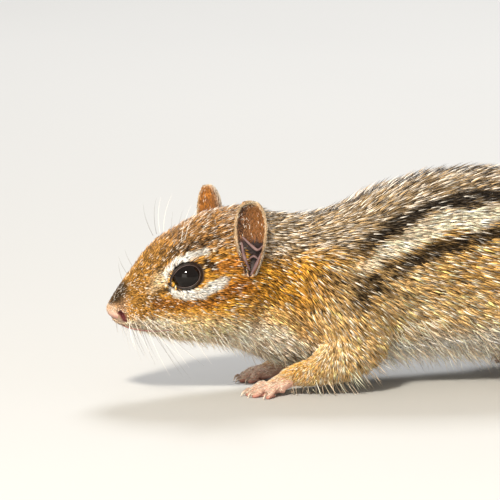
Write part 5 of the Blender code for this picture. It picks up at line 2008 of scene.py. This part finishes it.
class Chipmunk:
    """Builds every piece of the animal and sets it on its body."""

    tail_hairs: int = 15000
    ear_hairs: int = 9000
    lengths: tuple = (
        ("face", -10, 14), ("brow", 14, 23), ("cheeks", 23, 31), ("nape", 31, 42),
        ("shoulders", 42, 62), ("ribs", 62, 88), ("loins", 88, 110), ("rump", 110, 200),
    )

    def __init__(self) -> None:
        """Eyes, ears and feet, each made from its own sizes."""
        self.eyes = [Eye(side) for _, side in SIDES]
        self.ears = [Ear(side) for _, side in SIDES]
        self.feet = all_feet()

    def settle(self, obj: Object, slot: str, *nodes: str) -> None:
        """Lets a piece ride on the body and hides the solids that it stands for."""
        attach(obj, "root")
        if nodes:
            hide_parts(*nodes)
        LOG.info("%s: %d faces", obj.name, len(obj.data.polygons))

    def add(
        self, name: str, surface: tuple[Array, Array], finish: Finishes, slot: str,
        tint: Array | None = None, *nodes: str,
    ) -> None:
        """Makes a piece of its own and settles it.

        Args:
            name: The piece's name.
            surface: Points in plain millimetres and faces.
            finish: What it is made of.
            slot: The slot that it is dressed as; not used.
            tint: A colour for each point, for a finish that asks for it.
            nodes: The solids that it stands for.
        """
        points, faces = surface
        piece = new_object(name, STANCE.place(points), faces)
        face_outwards(piece)
        if tint is not None:
            set_colours(piece, "tint", tint)
        finish.on(piece)
        self.settle(piece, slot, *nodes)

    def skin_and_coat(self) -> None:
        """The skin, then all the hair that grows on it."""
        skin = Skin()
        body = skin.plain()
        skin.drawn_in(body)
        short = COAT.body_tufts(body)
        fringe = COAT.fringe_tufts(body)
        lids = [eye.lids(body) for eye in self.eyes]
        flesh = [foot.flesh() for foot in self.feet]
        foot_hair = [COAT.foot_tufts(foot, one) for foot, one in zip(self.feet, flesh)]
        skin.finish(body, flesh, self.eyes)
        limbs = ("upper_arm", "forearm", "forefoot", "thigh", "shank", "hindfoot")
        nodes = ["head", "neck", "torso", "tail_base", "tail_middle", "tail_tip"]
        nodes += [f"{limb}_{label}" for limb in limbs for label, _ in SIDES]
        self.settle(body, "ticked_coat", *nodes)
        self.coat_pieces(short)
        self.coat_piece("coat_fringes", fringe, Shape.LONG, "ticked_coat")
        self.dress_eyes(lids)
        for foot, hair in zip(self.feet, foot_hair):
            self.coat_piece(f"coat_{foot.name}", hair, Shape.SHORT, "foot_skin")
        long_hair = COAT.tail_tufts(self.tail_hairs)
        near = long_hair.unwrap[:, 0] < 0.45
        self.coat_piece("coat_tail_base", long_hair.chosen(near), Shape.LONG, "tail_coat")
        self.coat_piece("coat_tail_end", long_hair.chosen(~near), Shape.LONG, "tail_coat")

    def coat_piece(self, name: str, tufts: Tufts, shape: Shape, slot: str) -> None:
        """One piece of the coat."""
        piece = tufts.mesh(name, shape)
        Finishes.COAT.on(piece)
        self.settle(piece, slot)

    def coat_pieces(self, tufts: Tufts) -> None:
        """Parts the short coat into lengths of the animal, each small enough to store."""
        x, y = tufts.root[:, 0], tufts.root[:, 1]
        for name, low, high in self.lengths:
            inside = (x >= low) & (x < high)
            for label, side in SIDES:
                here = tufts.chosen(inside & (y * side >= 0))
                self.coat_piece(f"coat_{name}_{label}", here, Shape.SHORT, "ticked_coat")

    def dress_eyes(self, rims: list) -> None:
        """The two eyes and their lids."""
        for (label, _), eye, (points, faces, across) in zip(SIDES, self.eyes, rims):
            # Painted highlight: the lids' inner edge is pale, as the shine of the wet rim.
            tint = mix(TONES.lid_rim_painted_highlight, TONES.lid, smoothstep(0.02, 0.12, across))
            self.add(f"eyelids_{label}", (points, faces), Finishes.LIDS, "ticked_coat", tint)
            self.add(f"eyeball_{label}", eye.ball(), Finishes.EYE, "eye_glass", None, f"eye_{label}")

    def dress_ears(self) -> None:
        """The two ears with their very short hair."""
        for (label, _), ear in zip(SIDES, self.ears):
            points, faces, places = ear.shell()
            aside, up, inner = np.abs(places[:, 0]), places[:, 1], places[:, 2] > 0
            rim = smoothstep(0.8, 0.97, np.maximum(aside, 2 * up - 1))
            # Painted shade: the lower inner cup takes the darker lining, and its hollow a near-black painted
            # shadow.
            painted_hollow_shade = smoothstep(0.5, 0.42, up) * (1 - smoothstep(0.6, 0.9, aside)) * inner
            tint = mix(TONES.ear_cup, TONES.ear_lining, smoothstep(0.52, 0.42, up) * inner)
            tint = mix(tint, TONES.ear_depth, painted_hollow_shade * 0.95)
            # The pale rim is partly the ear's own tone and partly a painted highlight.
            tint = mix(tint, TONES.ear_rim, rim * 0.7)
            cup = (points, faces)
            self.add(f"ear_cup_{label}", cup, Finishes.EAR, "ear_skin", tint, f"ear_{label}")
            folds = ear.inner_folds()
            shade = soft_noise(folds[0], 1.2, 71) * 0.5 + 0.5
            tint = mix(TONES.fold, TONES.fold_shade, shade)
            self.add(f"ear_folds_{label}", folds, Finishes.EAR, "ear_skin", tint)
            hair = COAT.ear_tufts(ear, self.ear_hairs)
            self.coat_piece(f"coat_ear_{label}", hair, Shape.SHORT, "ear_skin")

    def dress_muzzle(self) -> None:
        """The nose pad with its nostrils, and the lips."""
        muzzle = Muzzle()
        path, size = np.array(muzzle.pad.path), np.array(muzzle.pad.thickness)
        pad = tube_object("nose_pad", sweep_rings(path, size, 40, 48, 10))
        evened(pad, 0.16, 2)
        combine(pad, muzzle.nostril_cutters(), "DIFFERENCE")
        points = points_of(pad)
        fuzz = COAT.nose_tufts(pad)
        tint = mix(TONES.pad, TONES.pad_low, smoothstep(20.6, 18.8, points[:, 2]))
        tint = mix(tint, TONES.pad_top, smoothstep(21.9, 22.8, points[:, 2]))
        # The nostrils' walls: their dark red lining with painted shade in the holes.
        for _, side in SIDES:
            apart = muzzle.from_nostril(points, side)
            tint = mix(tint, TONES.nostril, smoothstep(0.85, 0.5, apart))
        # The groove is set back a little and tinted darker as painted shade in the crease.
        groove = smoothstep(0.35, 0.1, np.abs(points[:, 1])) * smoothstep(21.4, 20.2, points[:, 2])
        tint = mix(tint, TONES.pad_groove_painted_shade, groove * 0.8)
        points[:, 0] += 0.16 * groove
        dressed(pad, points, tint, Finishes.NOSE)
        self.settle(pad, "foot_skin")
        self.coat_piece("coat_nose", fuzz, Shape.SHORT, "ticked_coat")
        ends = np.linspace(-1, 1, 23)
        size = 0.17 * (1 - 0.6 * np.abs(ends) ** 3)
        line = muzzle.mouth_line(12) + (0.3, 0, 0.15)
        lips = tube_object("lips", sweep_rings(line, np.stack([size, size], axis=1), 80, 12, 3))
        set_points(lips, STANCE.place(points_of(lips)) / MM)
        Finishes.LIPS.on(lips)
        self.settle(lips, "foot_skin")

    def dress_claws(self) -> None:
        """The claws of all four feet."""
        for foot in self.feet:
            points, faces = foot.claws()
            points[:, 2] = np.maximum(points[:, 2], 0.05)
            tint = mix(TONES.claw, TONES.claw_tip, smoothstep(1.6, 0.6, points[:, 2]))
            self.add(f"claws_{foot.name}", (points, faces), Finishes.CLAW, "foot_skin", tint)

    def build(self) -> None:
        """Every piece, from the skin outwards."""
        self.skin_and_coat()
        self.dress_ears()
        self.dress_muzzle()
        self.dress_claws()
        points, faces, tint = Whiskers().surface()
        self.add("whiskers", (points, faces), Finishes.WHISKER, "ticked_coat", tint)


def main() -> None:
    """Builds the dressed animal in its studio."""
    logging.basicConfig(level=logging.INFO, format="%(message)s")
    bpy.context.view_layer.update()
    Studio().build()
    Chipmunk().build()


if __name__ == "__main__":
    main()
